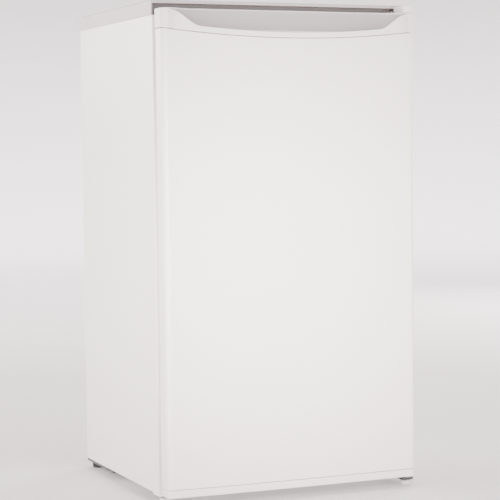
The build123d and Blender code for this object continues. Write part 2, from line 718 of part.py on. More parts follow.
cover_x = (214.5, half_w + 0.5)
cover_y = (hinge_y - 15.5, lip_y - 0.8)
cover_high = height - 3.5
with BuildPart() as hinge_cover:
    block(cover_x, cover_y, (door_high + 1, cover_high))
    fillet(hinge_cover.edges().filter_by(Axis.Z).group_by(Axis.Y)[0], radius=5)
    fillet(hinge_cover.faces().sort_by(Axis.Z)[-1].edges(), radius=1.2)
    block(
        (cover_x[0] + 1.5, cover_x[1] - 1.5),
        (cover_y[0] + 1.5, cover_y[1] + 1),
        (door_high, cover_high - 1.5),
        Mode.SUBTRACT,
    )
save(hinge_cover, "top_hinge_cover")

low_plate_z = (feet_h - 6.5, feet_h - 3.5)
low_x_span = (207.0, 231.0)
low_screws = [(213.0, -150.0), (225.0, -150.0)]
stud_bore = stud_r + fit
with BuildPart() as low_hinge:
    block(low_x_span, (hinge_y - 14, -140.0), low_plate_z)
    block(low_x_span, (-172.0, -140.0), (low_plate_z[1], floor_z))
    for at in low_screws:
        upright(at, 2.0, (low_plate_z[0] - 1, floor_z + 1), Mode.SUBTRACT)
    upright((hinge_x, hinge_y), stud_bore, (low_plate_z[0] - 1, low_plate_z[1] + 1), Mode.SUBTRACT)
    fillet(low_hinge.edges().filter_by(Axis.Z).group_by(Axis.Y)[0], radius=6)
save(low_hinge, "bottom_hinge_bracket")

with BuildPart() as low_pin:
    upright((hinge_x, hinge_y), bottom_pin_r, (low_plate_z[1], door_low + 16.5))
    upright((hinge_x, hinge_y), stud_bore, (low_plate_z[1] - 1, door_low), Mode.SUBTRACT)
save(low_pin, "bottom_hinge_pin")

with BuildPart() as washer:
    upright((hinge_x, hinge_y), 8.0, (low_plate_z[1], door_low - clear))
    upright((hinge_x, hinge_y), bottom_pin_r, (low_plate_z[1] - 1, door_low), Mode.SUBTRACT)
save(washer, "hinge_washer")

with BuildPart() as screws:
    for at in top_screws:
        upright(at, 2.0, (roof_z, plate_z_top[1]))
        upright(at, 3.8, (plate_z_top[1], plate_z_top[1] + 2))
    for at in low_screws:
        upright(at, 2.0, (low_plate_z[0], floor_z))
        upright(at, 3.8, (low_plate_z[0] - 2, low_plate_z[0]))
    for at in screw_at:
        lengthwise(at, 2.0, (rear_y - 20, rear_y + 3))
        lengthwise(at, 3.8, (rear_y + 3, rear_y + 5))
save(screws, "cover_and_hinge_screws")

pad_r, pad_h = 11.0, 8.0
foot_places = {"left": (foot_at, floor_z + 22), "right": ((hinge_x, hinge_y), door_low - clear)}
for name, (at, stud_top) in foot_places.items():
    with BuildPart() as foot:
        upright(at, pad_r, (0.0, pad_h))
        chamfer(foot.faces().sort_by(Axis.Z)[-1].edges(), length=2)
        fillet(foot.faces().sort_by(Axis.Z)[0].edges(), radius=1)
        upright(at, stud_r, (pad_h, stud_top))
    save(foot, f"front_{name}_foot")

with BuildPart() as rear_feet:
    for side in (-1, 1):
        upright((side * 214.0, rear_y - 16), 12.0, (0.0, plate_z))
    fillet(rear_feet.faces().group_by(Axis.Z)[0].edges(), radius=2)
save(rear_feet, "rear_feet")
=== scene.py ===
"""A compact under-counter refrigerator: its finished surfaces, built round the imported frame.

Metres, +Z up, the door faces -Y. Places come from the frame's own nodes. Inside the shape makers a
surface is a grid of points, worked out from two parameters as whole arrays.
"""

import logging
import math
from dataclasses import dataclass, field
from enum import Enum
from typing import Any, Iterable, Sequence, Union

import bmesh
import bpy
import numpy as np
from mathutils import Matrix, Vector


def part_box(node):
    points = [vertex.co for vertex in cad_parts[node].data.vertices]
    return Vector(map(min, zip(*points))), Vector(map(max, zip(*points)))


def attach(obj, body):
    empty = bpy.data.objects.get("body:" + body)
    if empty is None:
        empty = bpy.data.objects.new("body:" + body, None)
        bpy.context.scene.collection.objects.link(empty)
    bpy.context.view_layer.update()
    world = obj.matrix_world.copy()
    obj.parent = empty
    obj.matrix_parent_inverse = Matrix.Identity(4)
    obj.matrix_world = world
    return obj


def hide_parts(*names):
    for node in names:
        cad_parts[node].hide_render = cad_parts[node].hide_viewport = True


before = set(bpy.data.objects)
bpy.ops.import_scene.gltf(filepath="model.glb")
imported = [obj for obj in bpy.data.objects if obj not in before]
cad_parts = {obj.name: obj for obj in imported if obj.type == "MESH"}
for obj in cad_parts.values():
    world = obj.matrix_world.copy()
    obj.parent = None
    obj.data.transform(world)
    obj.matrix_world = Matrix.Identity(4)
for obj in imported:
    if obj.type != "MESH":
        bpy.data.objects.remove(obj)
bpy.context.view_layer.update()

log = logging.getLogger("refrigerator")

Array = np.ndarray
Colour = tuple[float, float, float]
Patch = tuple[Array, Array]
MM = 0.001


class Slot(Enum):
    """The record's material slots."""

    WHITE_PAINT = "white_paint"
    WHITE_PLASTIC = "white_plastic"
    WORKTOP_PLASTIC = "worktop_plastic"
    LINER_PLASTIC = "liner_plastic"
    FOAM = "foam"
    GALVANISED = "galvanised"
    BLACK_PAINT = "black_paint"
    BLACK_PLASTIC = "black_plastic"
    GASKET_RUBBER = "gasket_rubber"
    BLACK_RUBBER = "black_rubber"
    COPPER = "copper"
    ALUMINIUM = "aluminium"
    SHELF_GLASS = "shelf_glass"
    CLEAR_PLASTIC = "clear_plastic"
    CORE_BOARD = "core_board"
    ZINC = "zinc"
    GREY_PLASTIC = "grey_plastic"
    FERRITE = "ferrite"
    LAMP_GLASS = "lamp_glass"


class Facing(Enum):
    """Which world axes an outline's two axes and its level take."""

    PLAN = (0, 1, 2)
    FRONT = (0, 2, 1)
    SIDE = (2, 0, 1)


# ---------------------------------------------------------------- shape makers
@dataclass(frozen=True)
class Outline:
    """A closed outline: its points, their outward normals and the line that a flat end closes on."""

    points: Array
    normals: Array
    spine: Array


def smooth(values: Array) -> Array:
    """Eases from 0 to 1: 3 t^2 - 2 t^3 with t held between 0 and 1."""
    held = np.clip(values, 0.0, 1.0)
    return held * held * (3.0 - 2.0 * held)


def bend(centre: Sequence[float], radius: float, start: float, stop: float, steps: int = 6) -> Array:
    """A round stretch of a profile: centre + radius (cos a, sin a).

    Args:
        centre: Middle of the arc.
        radius: Radius of the arc.
        start: First angle in degrees.
        stop: Last angle in degrees.
        steps: Number of points.

    Returns:
        The points, one a row.
    """
    angles = np.radians(np.linspace(start, stop, steps))
    return np.asarray(centre) + radius * np.column_stack([np.cos(angles), np.sin(angles)])


def rounded(low: Sequence[float], high: Sequence[float], radii: Any, steps: int = 7, run: int = 2) -> Outline:
    """A rectangle whose corners are quarter circles, joined by straight runs.

    Args:
        low: Lowest corner.
        high: Highest corner.
        radii: One radius, or four, turning anticlockwise from the corner that is highest both ways.
        steps: Points in each corner.
        run: Pieces that each straight side is cut into.

    Returns:
        The outline.
    """
    low, high = np.asarray(low, float), np.asarray(high, float)
    signs = np.array([(1, 1), (-1, 1), (-1, -1), (1, -1)])
    turns, facings = [], []
    for quarter, (sign, radius) in enumerate(zip(signs, np.broadcast_to(radii, 4))):
        facing = bend((0, 0), 1.0, 90 * quarter, 90 * quarter + 90, steps)
        turns.append(np.where(sign > 0, high, low) - sign * radius + radius * facing)
        facings.append(facing)
    points, normals = [], []
    for turn, following, facing in zip(turns, turns[1:] + turns[:1], facings):
        share = np.linspace(0, 1, run + 1)[1:-1, None]
        points += [turn, turn[-1] + share * (following[0] - turn[-1])]
        normals += [facing, np.repeat(facing[-1:], run - 1, axis=0)]
    points = np.vstack(points)
    centre, half = (low + high) / 2, (high - low) / 2
    reach = half - half.min()
    return Outline(points, np.vstack(normals), np.clip(points, centre - reach, centre + reach))


def circle(
    centre: Sequence[float], radius: float, count: int = 48, lobes: int = 0, lobe: float = 0.0
) -> Outline:
    """A circle, or a knurled one: radius + lobe cos(lobes a).

    Args:
        centre: Middle of the circle.
        radius: Mean radius.
        count: Number of points.
        lobes: Number of lobes round the edge.
        lobe: Height of a lobe over the mean radius.

    Returns:
        The outline.
    """
    angles = np.linspace(0, 2 * np.pi, count, endpoint=False)
    facing = np.column_stack([np.cos(angles), np.sin(angles)])
    reach = radius + lobe * np.cos(lobes * angles)
    points = np.asarray(centre) + reach[:, None] * facing
    return Outline(points, facing, np.repeat(np.asarray(centre, float)[None], count, axis=0))


def lattice(grid: Array, close_rows: bool = False, close_columns: bool = True) -> Patch:
    """Joins a grid of points into quads.

    Args:
        grid: Points by row and column.
        close_rows: Joins the last row to the first.
        close_columns: Joins the last column to the first.

    Returns:
        The points in one list, and the quads as rows of four point numbers.
    """
    rows, columns = grid.shape[:2]
    row, column = np.meshgrid(
        np.arange(rows if close_rows else rows - 1),
        np.arange(columns if close_columns else columns - 1),
        indexing="ij",
    )
    after_row, after_column = (row + 1) % rows, (column + 1) % columns
    quads = np.stack(
        [
            row * columns + column,
            row * columns + after_column,
            after_row * columns + after_column,
            after_row * columns + column,
        ],
        axis=-1,
    )
    return grid.reshape(-1, 3), quads.reshape(-1, 4)


def carried(outline: Outline, inset: Array, level: Array, facing: Facing = Facing.PLAN) -> Patch:
    """A profile carried round an outline: point - inset * normal, at level. Both ends close on the spine.

    Past a corner's own radius its points gather on the corner of the smaller rectangle.

    Args:
        outline: The outline.
        inset: How far inside the outline each row lies, one number a row or a full grid.
        level: Height of each row over the outline's plane, the same way.
        facing: Where the outline's plane lies in the world.

    Returns:
        The closed surface.
    """
    count = len(outline.points)
    inset, level = (np.asarray(v, float) for v in (inset, level))
    inset = inset[:, None] if inset.ndim == 1 else inset
    level = level[:, None] if level.ndim == 1 else level
    inset, level = np.broadcast_arrays(inset, level + np.zeros(count))
    flat = outline.points[None] - inset[..., None] * outline.normals[None]
    edge = inset[..., None]
    flat = np.clip(flat, outline.points.min(axis=0) + edge, outline.points.max(axis=0) - edge)
    ends = np.repeat(outline.spine[None], 2, axis=0)
    plane = np.concatenate([ends[:1], flat, ends[1:]])
    height = np.concatenate([level[:1], level, level[-1:]])
    grid = np.concatenate([plane, height[..., None]], axis=-1)
    return lattice(in_world(grid, facing))


def in_world(points: Array, facing: Facing) -> Array:
    """Puts points given as outline axes and level on the world's axes."""
    placed = np.empty_like(points)
    placed[..., list(facing.value)] = points
    return placed


def slab(
    outline: Outline, low: float, high: float, edges: tuple[float, float], facing: Facing = Facing.PLAN
) -> Patch:
    """A solid plate with rounded lower and upper edges.

    Args:
        outline: Its outline.
        low: Lower face.
        high: Upper face.
        edges: Radius of the lower and of the upper edge.
        facing: Where the outline's plane lies in the world.

    Returns:
        The closed surface.
    """
    below, above = edges
    profile = np.vstack(
        [
            bend((below, low + below), below, 270, 180),
            bend((above, high - above), above, 180, 90),
        ]
    )
    return carried(outline, profile[:, 0], profile[:, 1], facing)


def brick(
    low: Sequence[float], high: Sequence[float], radius: float = 0.6 * MM, facing: Facing = Facing.PLAN
) -> Patch:
    """A box with every edge rounded, between two corners given in the world's axes."""
    low, high = (np.asarray(v, float)[list(facing.value)] for v in (low, high))
    return slab(rounded(low[:2], high[:2], radius, 4), low[2], high[2], (radius, radius), facing)


def drum(centre: Sequence[float], profile: Array, facing: Facing = Facing.PLAN, count: int = 48) -> Patch:
    """A turned shape: each profile point is (radius, level), carried round a circle."""
    return carried(circle(centre, 0.0, count), -profile[:, 0], profile[:, 1], facing)


def tub(outline: Outline, low: float, high: float, wall: float, corner: float, bead: float = 0.0) -> Patch:
    """An open container: outside wall up, a round rim with a bead, inside wall down and a filleted floor.

    Args:
        outline: Outside outline at the rim.
        low: Underside.
        high: Top of the rim.
        wall: Thickness of walls and floor.
        corner: Radius where the outside wall meets the underside.
        bead: How far the rim is thicker than the wall, on the inside.

    Returns:
        The closed surface.
    """
    rim = (wall + bead) / 2
    inner = max(corner - wall, 0.4 * wall)
    profile = np.vstack(
        [
            bend((corner, low + corner), corner, 270, 180, 7),
            bend((rim, high - rim), rim, 180, 0, 9),
            [(2 * rim, high - 2.4 * rim), (wall, high - 3.4 * rim - bead)],
            bend((wall + inner, low + wall + inner), inner, 180, 270, 7),
        ]
    )
    return carried(outline, profile[:, 0], profile[:, 1])


def frame_of(corners: Array, inward: Array, profile: Array, facing: Facing, closed: bool = True) -> Patch:
    """A section carried along straight runs with mitred corners: corner + inset * inward, at its level.

    Args:
        corners: Corners of the run, two numbers a row.
        inward: The mitre direction at each corner, one step long across each bar.
        profile: Closed section as (inset, level) rows.
        facing: Where the corners' plane lies in the world.
        closed: Whether the run comes back to its start.

    Returns:
        The closed surface.
    """
    plane = corners[:, None] + profile[None, :, :1] * inward[:, None]
    level = np.broadcast_to(profile[:, 1], plane.shape[:2])
    grid = in_world(np.concatenate([plane, level[..., None]], axis=-1), facing)
    if closed:
        return lattice(grid, close_rows=True)
    ends = np.repeat(grid[[0, -1]].mean(axis=1, keepdims=True), grid.shape[1], axis=1)
    return lattice(np.concatenate([ends[:1], grid, ends[1:]]))


def window(low: Sequence[float], high: Sequence[float]) -> tuple[Array, Array]:
    """The four corners of a rectangle and their mitre directions."""
    (left, bottom), (right, top) = low, high
    corners = np.array([(left, bottom), (right, bottom), (right, top), (left, top)])
    return corners, np.array([(1.0, 1.0), (-1.0, 1.0), (-1.0, -1.0), (1.0, -1.0)])


def doubled(path: Array, thickness: float) -> Array:
    """Gives an open path a thickness on its left: along it, then back along its mitred offset."""
    step = np.diff(path, axis=0)
    step /= np.linalg.norm(step, axis=1, keepdims=True)
    left = np.column_stack([-step[:, 1], step[:, 0]])
    before, after = np.vstack([left[:1], left]), np.vstack([left, left[-1:]])
    mitre = (before + after) / (1.0 + np.sum(before * after, axis=1, keepdims=True))
    return np.vstack([path, (path + thickness * mitre)[::-1]])


def eased(corners: Array, rounds: int = 2) -> Array:
    """Rounds a closed outline by cutting its corners: points at a quarter and three quarters of each side."""
    for _ in range(rounds):
        following = np.roll(corners, -1, axis=0)
        cut = np.stack([0.75 * corners + 0.25 * following, 0.25 * corners + 0.75 * following], axis=1)
        corners = cut.reshape(-1, 2)
    return corners


def pressed(across: Array, up: Array, relief: Array, back: float) -> Patch:
    """A sheet over a rectangle in X and Z: its front is at relief, its back is flat, and its rims are closed.

    Args:
        across: X of the grid's columns.
        up: Z of the grid's rows.
        relief: Y of the front at each row and column.
        back: Y of the flat back.

    Returns:
        The closed surface.
    """
    middle = (relief + back) / 2
    front = np.concatenate([middle[:1], relief, middle[-1:]])
    rear = np.concatenate([middle[:1], np.full_like(relief, back), middle[-1:]])
    rows = np.concatenate([up[:1], up, up[-1:]])
    loop_x = np.broadcast_to(np.concatenate([across, across[::-1]]), (len(rows), 2 * len(across)))
    loop_y = np.concatenate([front, rear[:, ::-1]], axis=1)
    loop_z = np.broadcast_to(rows[:, None], loop_x.shape)
    return lattice(np.stack([loop_x, loop_y, loop_z], axis=-1))


def edge_distance(x: Array, z: Array, low: Sequence[float], high: Sequence[float], radius: float) -> Array:
    """Distance inside a rounded rectangle's edge: positive inside, from the usual rounded box formula."""
    centre = (np.asarray(low) + np.asarray(high)) / 2
    half = (np.asarray(high) - np.asarray(low)) / 2 - radius
    dx, dz = np.abs(x - centre[0]) - half[0], np.abs(z - centre[1]) - half[1]
    outside = np.hypot(np.maximum(dx, 0), np.maximum(dz, 0))
    return radius - outside - np.minimum(np.maximum(dx, dz), 0)


def tube(path: Array, radius: float, side: Sequence[float], count: int = 12) -> Patch:
    """A round rod along a flat path: path + radius (cos a * across + sin a * side), with closed ends.

    Args:
        path: Points of the centre line.
        radius: Radius of the rod.
        side: A direction square to the path's plane.
        count: Points round the rod.

    Returns:
        The closed surface.
    """
    along = np.gradient(path, axis=0)
    along /= np.linalg.norm(along, axis=1, keepdims=True)
    side = np.asarray(side, float)
    across = np.cross(along, side)
    angles = np.linspace(0, 2 * np.pi, count, endpoint=False)
    ring = np.cos(angles)[None, :, None] * across[:, None] + np.sin(angles)[None, :, None] * side
    grid = path[:, None] + radius * ring
    ends = np.repeat(path[[0, -1], None], count, axis=1)
    return lattice(np.concatenate([ends[:1], grid, ends[1:]]))


def span(node: str) -> tuple[Array, Array]:
    """Lowest and highest corner of a CAD node."""
    low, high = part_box(node)
    return np.array(low), np.array(high)


def piece_from(name: str, patches: Iterable[Patch], sharp: float) -> bpy.types.Object:
    """Makes one object from closed surfaces: joins doubled points, faces outwards and shades smooth.

    Args:
        name: The piece's name.
        patches: Its surfaces.
        sharp: Edges that turn more than this many degrees stay crisp.

    Returns:
        The object, at the origin.
    """
    points, quads, start = [], [], 0
    for place, face in patches:
        points.append(place)
        quads.append(face + start)
        start += len(place)
    mesh = bpy.data.meshes.new(name)
    mesh.from_pydata(np.vstack(points), [], np.vstack(quads))
    work = bmesh.new()
    work.from_mesh(mesh)
    bmesh.ops.remove_doubles(work, verts=work.verts, dist=0.002 * MM)
    bmesh.ops.dissolve_degenerate(work, edges=work.edges, dist=0.001 * MM)
    bmesh.ops.recalc_face_normals(work, faces=work.faces)
    work.to_mesh(mesh)
    work.free()
    mesh.shade_smooth()
    mesh.set_sharp_from_angle(angle=math.radians(sharp))
    piece = bpy.data.objects.new(name, mesh)
    bpy.context.scene.collection.objects.link(piece)
    even = piece.modifiers.new("even_shading", "WEIGHTED_NORMAL")
    even.keep_sharp = True
    return piece


# ---------------------------------------------------------------- finishes
class Socket:
    """A shader value that takes part in Python sums: each operator adds a Math node."""

    def __init__(self, graph: "Graph", output: bpy.types.NodeSocket) -> None:
        """Wraps an output of a node in a graph."""
        self.graph = graph
        self.output = output

    def _math(self, operation: str, first: "Value", second: "Value") -> "Socket":
        """Adds one Math node."""
        return self.graph.node("Math", {"operation": operation}, {0: first, 1: second})

    def __add__(self, other: "Value") -> "Socket":
        """Sum."""
        return self._math("ADD", self, other)

    def __radd__(self, other: "Value") -> "Socket":
        """Sum from the right."""
        return self._math("ADD", other, self)

    def __sub__(self, other: "Value") -> "Socket":
        """Difference."""
        return self._math("SUBTRACT", self, other)

    def __rsub__(self, other: "Value") -> "Socket":
        """Difference from the right."""
        return self._math("SUBTRACT", other, self)

    def __mul__(self, other: "Value") -> "Socket":
        """Product."""
        return self._math("MULTIPLY", self, other)

    def __rmul__(self, other: "Value") -> "Socket":
        """Product from the right."""
        return self._math("MULTIPLY", other, self)

    def __pow__(self, other: "Value") -> "Socket":
        """Power."""
        return self._math("POWER", self, other)


Value = Union[Socket, float]


class Graph:
    """A material's nodes: its Principled shader, and one way to add any other node."""

    def __init__(self, name: str) -> None:
        """Starts a material with a shader and an output."""
        self.material = bpy.data.materials.new(name)
        self.material.use_nodes = True
        self.tree = self.material.node_tree
        self.tree.nodes.clear()
        self.shader = self.tree.nodes.new("ShaderNodeBsdfPrincipled")
        output = self.tree.nodes.new("ShaderNodeOutputMaterial")
        self.tree.links.new(self.shader.outputs[0], output.inputs[0])
        self.place = self.node("TexCoord", output="Object")

    def feed(self, node: bpy.types.Node, inputs: dict[Union[str, int], Any]) -> None:
        """Gives sockets of a node their values or links."""
        for key, value in inputs.items():
            if isinstance(value, Socket):
                self.tree.links.new(value.output, node.inputs[key])
            else:
                node.inputs[key].default_value = value

    def node(
        self,
        kind: str,
        settings: dict[str, Any] | None = None,
        inputs: dict[Union[str, int], Any] | None = None,
        output: Union[str, int] = 0,
    ) -> Socket:
        """Adds a node.

        Args:
            kind: The node's type, without its common prefix.
            settings: Properties that are set first; a ramp's stops are pairs of place and colour.
            inputs: Values or links of its sockets.
            output: Which output to give back.

        Returns:
            The chosen output.
        """
        made = self.tree.nodes.new("ShaderNode" + kind)
        for key, value in (settings or {}).items():
            if key == "stops":
                self.set_stops(made.color_ramp.elements, value)
            else:
                setattr(made, key, value)
        self.feed(made, inputs or {})
        return Socket(self, made.outputs[output])

    @staticmethod
    def set_stops(elements: Any, stops: Sequence[tuple[float, Colour]]) -> None:
        """Sets a ramp's stops."""
        while len(elements) < len(stops):
            elements.new(1.0)
        for element, (place, colour) in zip(elements, stops):
            element.position = place
            element.color = (*colour, 1.0)

    def scaled(self, factors: Sequence[float]) -> Socket:
        """Object coordinates, drawn out by a factor on each axis."""
        return self.node("VectorMath", {"operation": "MULTIPLY"}, {0: self.place, 1: tuple(factors)})

    def noise(self, size: float, detail: float = 2.0, place: Socket | None = None) -> Socket:
        """Soft random pattern whose features are about size metres across."""
        inputs = {"Vector": place or self.place, "Scale": 1.0 / size, "Detail": detail}
        return self.node("TexNoise", {}, inputs)

    def cells(
        self, size: float, output: str = "Distance", feature: str = "F1", place: Socket | None = None
    ) -> Socket:
        """Cells about size metres across."""
        inputs = {"Vector": place or self.place, "Scale": 1.0 / size}
        return self.node("TexVoronoi", {"feature": feature}, inputs, output)

    def ramp(self, value: Socket, stops: Sequence[tuple[float, Colour]]) -> Socket:
        """Turns a value into a colour."""
        return self.node("ValToRGB", {"stops": stops}, {0: value})

    def window(self, value: Socket, low: float, high: float) -> Socket:
        """Maps low to 0 and high to 1, and holds the rest at the ends."""
        return self.node("MapRange", {}, {"Value": value, "From Min": low, "From Max": high})

    def mix(self, first: Union[Socket, Colour], second: Union[Socket, Colour], share: Value) -> Socket:
        """Mixes two colours."""
        ends = [c if isinstance(c, Socket) else (*c, 1.0) for c in (first, second)]
        return self.node("Mix", {"data_type": "RGBA"}, {0: share, 6: ends[0], 7: ends[1]}, 2)

    def bump(self, height: Socket, depth: float, under: Socket | None = None) -> Socket:
        """Bends the normal by a height map that is depth metres deep, over another bump if one is given."""
        inputs = {"Strength": 1.0, "Distance": depth, "Height": height}
        return self.node("Bump", {}, inputs | ({"Normal": under} if under else {}))


def shaded(colour: Colour, factor: float) -> Colour:
    """A colour made lighter or darker."""
    return tuple(min(1.0, channel * factor) for channel in colour)


@dataclass(frozen=True)
class Finish:
    """A finish's name, colour and roughness."""

    name: str
    colour: Colour
    roughness: float

    def dress(self, graph: Graph) -> dict[str, Any]:
        """What the shader's sockets get."""
        raise NotImplementedError

    def make(self) -> bpy.types.Material:
        """Builds the material."""
        graph = Graph(self.name)
        graph.feed(graph.shader, self.dress(graph))
        graph.material.diffuse_color = (*self.colour, 1.0)
        return graph.material


@dataclass(frozen=True)
class Enamel(Finish):
    """Baked paint on steel: orange peel, a slow drift of tone, fine dust in the gloss."""

    peel_size: float = 2.2 * MM
    peel_depth: float = 0.012 * MM
    dust: float = 0.07

    def dress(self, graph: Graph) -> dict[str, Any]:
        """Paint, peel and dust."""
        drift = graph.noise(0.23, 3.0)
        dust = graph.noise(9 * MM, 5.0)
        peel = graph.noise(self.peel_size, 1.0)
        fine = graph.noise(self.peel_size / 4, 1.0)
        return {
            "Base Color": graph.mix(shaded(self.colour, 0.965), shaded(self.colour, 1.02), drift),
            "Roughness": self.roughness + self.dust * (dust - 0.5),
            "Specular IOR Level": 0.5,
            "Coat Weight": 0.12,
            "Coat Roughness": 0.18,
            "Normal": graph.bump(fine, self.peel_depth / 5, graph.bump(peel, self.peel_depth)),
        }


@dataclass(frozen=True)
class Moulded(Finish):
    """Moulded plastic: spark-eroded grain, cloudy pigment and handling rubs that polish it."""

    grain_size: float = 0.9 * MM
    grain_depth: float = 0.02 * MM
    rub: float = 0.1

    def dress(self, graph: Graph) -> dict[str, Any]:
        """Pigment, grain and rubs."""
        cloud = graph.noise(0.07, 4.0)
        rubs = graph.window(graph.noise(0.035, 6.0), 0.35, 0.7)
        grain = graph.cells(self.grain_size) * 0.6 + 0.4 * graph.noise(self.grain_size, 3.0)
        return {
            "Base Color": graph.mix(shaded(self.colour, 0.97), shaded(self.colour, 1.02), cloud),
            "Roughness": self.roughness + self.rub * (0.5 - rubs),
            "Specular IOR Level": 0.5,
            "Normal": graph.bump(grain, self.grain_depth),
        }


@dataclass(frozen=True)
class Spangled(Finish):
    """Hot-dip galvanised steel: zinc crystals that differ in tone and gloss."""

    crystal: float = 9 * MM

    def dress(self, graph: Graph) -> dict[str, Any]:
        """Crystals and a faint roll direction."""
        warped = graph.cells(self.crystal, "Color")
        tone = graph.node("SeparateColor", {}, {0: warped})
        streak = graph.noise(2 * MM, 3.0, graph.scaled((1.0, 1.0, 0.08)))
        share = tone * 0.8 + streak * 0.2
        return {
            "Base Color": graph.mix(shaded(self.colour, 0.82), shaded(self.colour, 1.1), share),
            "Metallic": 0.9,
            "Roughness": self.roughness + 0.16 * (tone - 0.5),
            "Normal": graph.bump(tone + streak * 0.3, 0.01 * MM),
        }


@dataclass(frozen=True)
class Metal(Finish):
    """Drawn or plated metal: die lines along one axis and patches of tarnish."""

    tarnish: Colour = (0.3, 0.2, 0.15)
    tarnish_share: float = 0.35
    draw: tuple[float, float, float] = (1.0, 1.0, 0.06)

    def dress(self, graph: Graph) -> dict[str, Any]:
        """Metal, tarnish and die lines."""
        patch = graph.window(graph.noise(0.03, 6.0), 0.42, 0.68)
        lines = graph.noise(1.2 * MM, 2.0, graph.scaled(self.draw))
        return {
            "Base Color": graph.mix(self.colour, self.tarnish, patch * self.tarnish_share),
            "Metallic": 1.0,
            "Roughness": self.roughness + 0.18 * patch + 0.1 * (lines - 0.5),
            "Normal": graph.bump(lines, 0.008 * MM),
        }


@dataclass(frozen=True)
class Rubber(Finish):
    """Moulded rubber: dull grain and a pale bloom."""

    bloom: Colour = (0.2, 0.2, 0.2)
    bloom_share: float = 0.4

    def dress(self, graph: Graph) -> dict[str, Any]:
        """Rubber, bloom and grain."""
        bloom = graph.window(graph.noise(0.02, 5.0), 0.4, 0.75)
        grain = graph.noise(0.6 * MM, 4.0)
        return {
            "Base Color": graph.mix(self.colour, self.bloom, bloom * self.bloom_share),
            "Roughness": self.roughness + 0.12 * (grain - 0.5),
            "Specular IOR Level": 0.4,
            "Normal": graph.bump(grain, 0.03 * MM),
        }


@dataclass(frozen=True)
class Clear(Finish):
    """Glass or clear plastic in thin walls: it hides more where it is seen edge on, and shows wipe marks."""

    body: float = 0.14
    rim: float = 0.75
    wave: float = 0.02 * MM

    def dress(self, graph: Graph) -> dict[str, Any]:
        """Tint, wipes and how much of what is behind is hidden."""
        wipe = graph.window(graph.noise(0.05, 5.0, graph.scaled((1.0, 2.5, 1.0))), 0.35, 0.75)
        edge_on = graph.node("LayerWeight", {}, {"Blend": 0.35}, "Facing")
        return {
            "Base Color": graph.mix(shaded(self.colour, 0.96), self.colour, wipe),
            "Roughness": self.roughness + 0.08 * wipe,
            "Alpha": self.body + (self.rim - self.body) * edge_on**3.0 + 0.03 * wipe,
            "Specular IOR Level": 0.6,
            "Normal": graph.bump(graph.noise(0.018, 1.0), self.wave),
        }


@dataclass(frozen=True)
class Foam(Finish):
    """Rigid foam: a skin over cells, with darker dense patches."""

    cell: float = 1.1 * MM

    def dress(self, graph: Graph) -> dict[str, Any]:
        """Cells and patches."""
        patch = graph.window(graph.noise(0.045, 5.0), 0.35, 0.7)
        cells = graph.cells(self.cell)
        return {
            "Base Color": graph.mix(self.colour, shaded(self.colour, 0.8), patch * 0.7 + cells * 0.3),
            "Roughness": self.roughness,
            "Normal": graph.bump(cells, 0.5 * MM),
        }


@dataclass(frozen=True)
class Chipboard(Finish):
    """Pressed wood chips: flakes of three tones, lying flat."""

    flake: float = 3.5 * MM

    def dress(self, graph: Graph) -> dict[str, Any]:
        """Flakes and gaps between them."""
        flat = graph.scaled((1.0, 0.6, 2.2))
        tone = graph.node("SeparateColor", {}, {0: graph.cells(self.flake, "Color", place=flat)})
        gap = graph.cells(self.flake, "Distance", "DISTANCE_TO_EDGE", flat)
        stops = ((0.0, shaded(self.colour, 0.62)), (0.5, self.colour), (1.0, shaded(self.colour, 1.3)))
        return {
            "Base Color": graph.ramp(tone, stops),
            "Roughness": self.roughness,
            "Normal": graph.bump(graph.window(gap, 0.0, 0.12), 0.2 * MM),
        }


@dataclass(frozen=True)
class ScoopShadeMoulding(Moulded):
    """The door's top cap: moulded plastic whose finger scoop is painted darker, as painted shade."""

    scoop_half: float = 221 * MM
    scoop_front: float = -221.5 * MM
    scoop_back: float = -199.5 * MM
    scoop_low: float = 786.5 * MM
    scoop_top: float = 821.5 * MM
    fade: float = 2 * MM
    # How dark the painted shade in the scoop is.
    tone: Colour = (0.46, 0.4531, 0.4508)

    def dress(self, graph: Graph) -> dict[str, Any]:
        """The moulding's finish, with painted shade multiplied in inside the scoop's half width, behind its
        rim and under the top.
        """
        channels = super().dress(graph)
        place = graph.scaled((1.0, 1.0, 1.0))
        x, y, z = (graph.node("SeparateXYZ", {}, {0: place}, axis) for axis in range(3))
        inside = graph.window(x * x, self.scoop_half**2, (self.scoop_half - 1.5 * self.fade) ** 2)
        inside = inside * graph.window(y, self.scoop_front, self.scoop_front + self.fade)
        inside = inside * graph.window(z, self.scoop_low, self.scoop_low + self.fade)
        inside = inside * graph.window(z, self.scoop_top, self.scoop_top - self.fade)
        inside = inside * graph.window(y, self.scoop_back, self.scoop_back - self.fade)
        # Painted shade: the base colour is multiplied towards tone inside the scoop.
        painted_scoop_shade = graph.mix((1.0, 1.0, 1.0), self.tone, inside)
        blend = {"data_type": "RGBA", "blend_type": "MULTIPLY"}
        colour_with_scoop_shade = graph.node("Mix", blend, {0: 1.0, 6: channels["Base Color"], 7: painted_scoop_shade}, 2)
        return channels | {"Base Color": colour_with_scoop_shade}


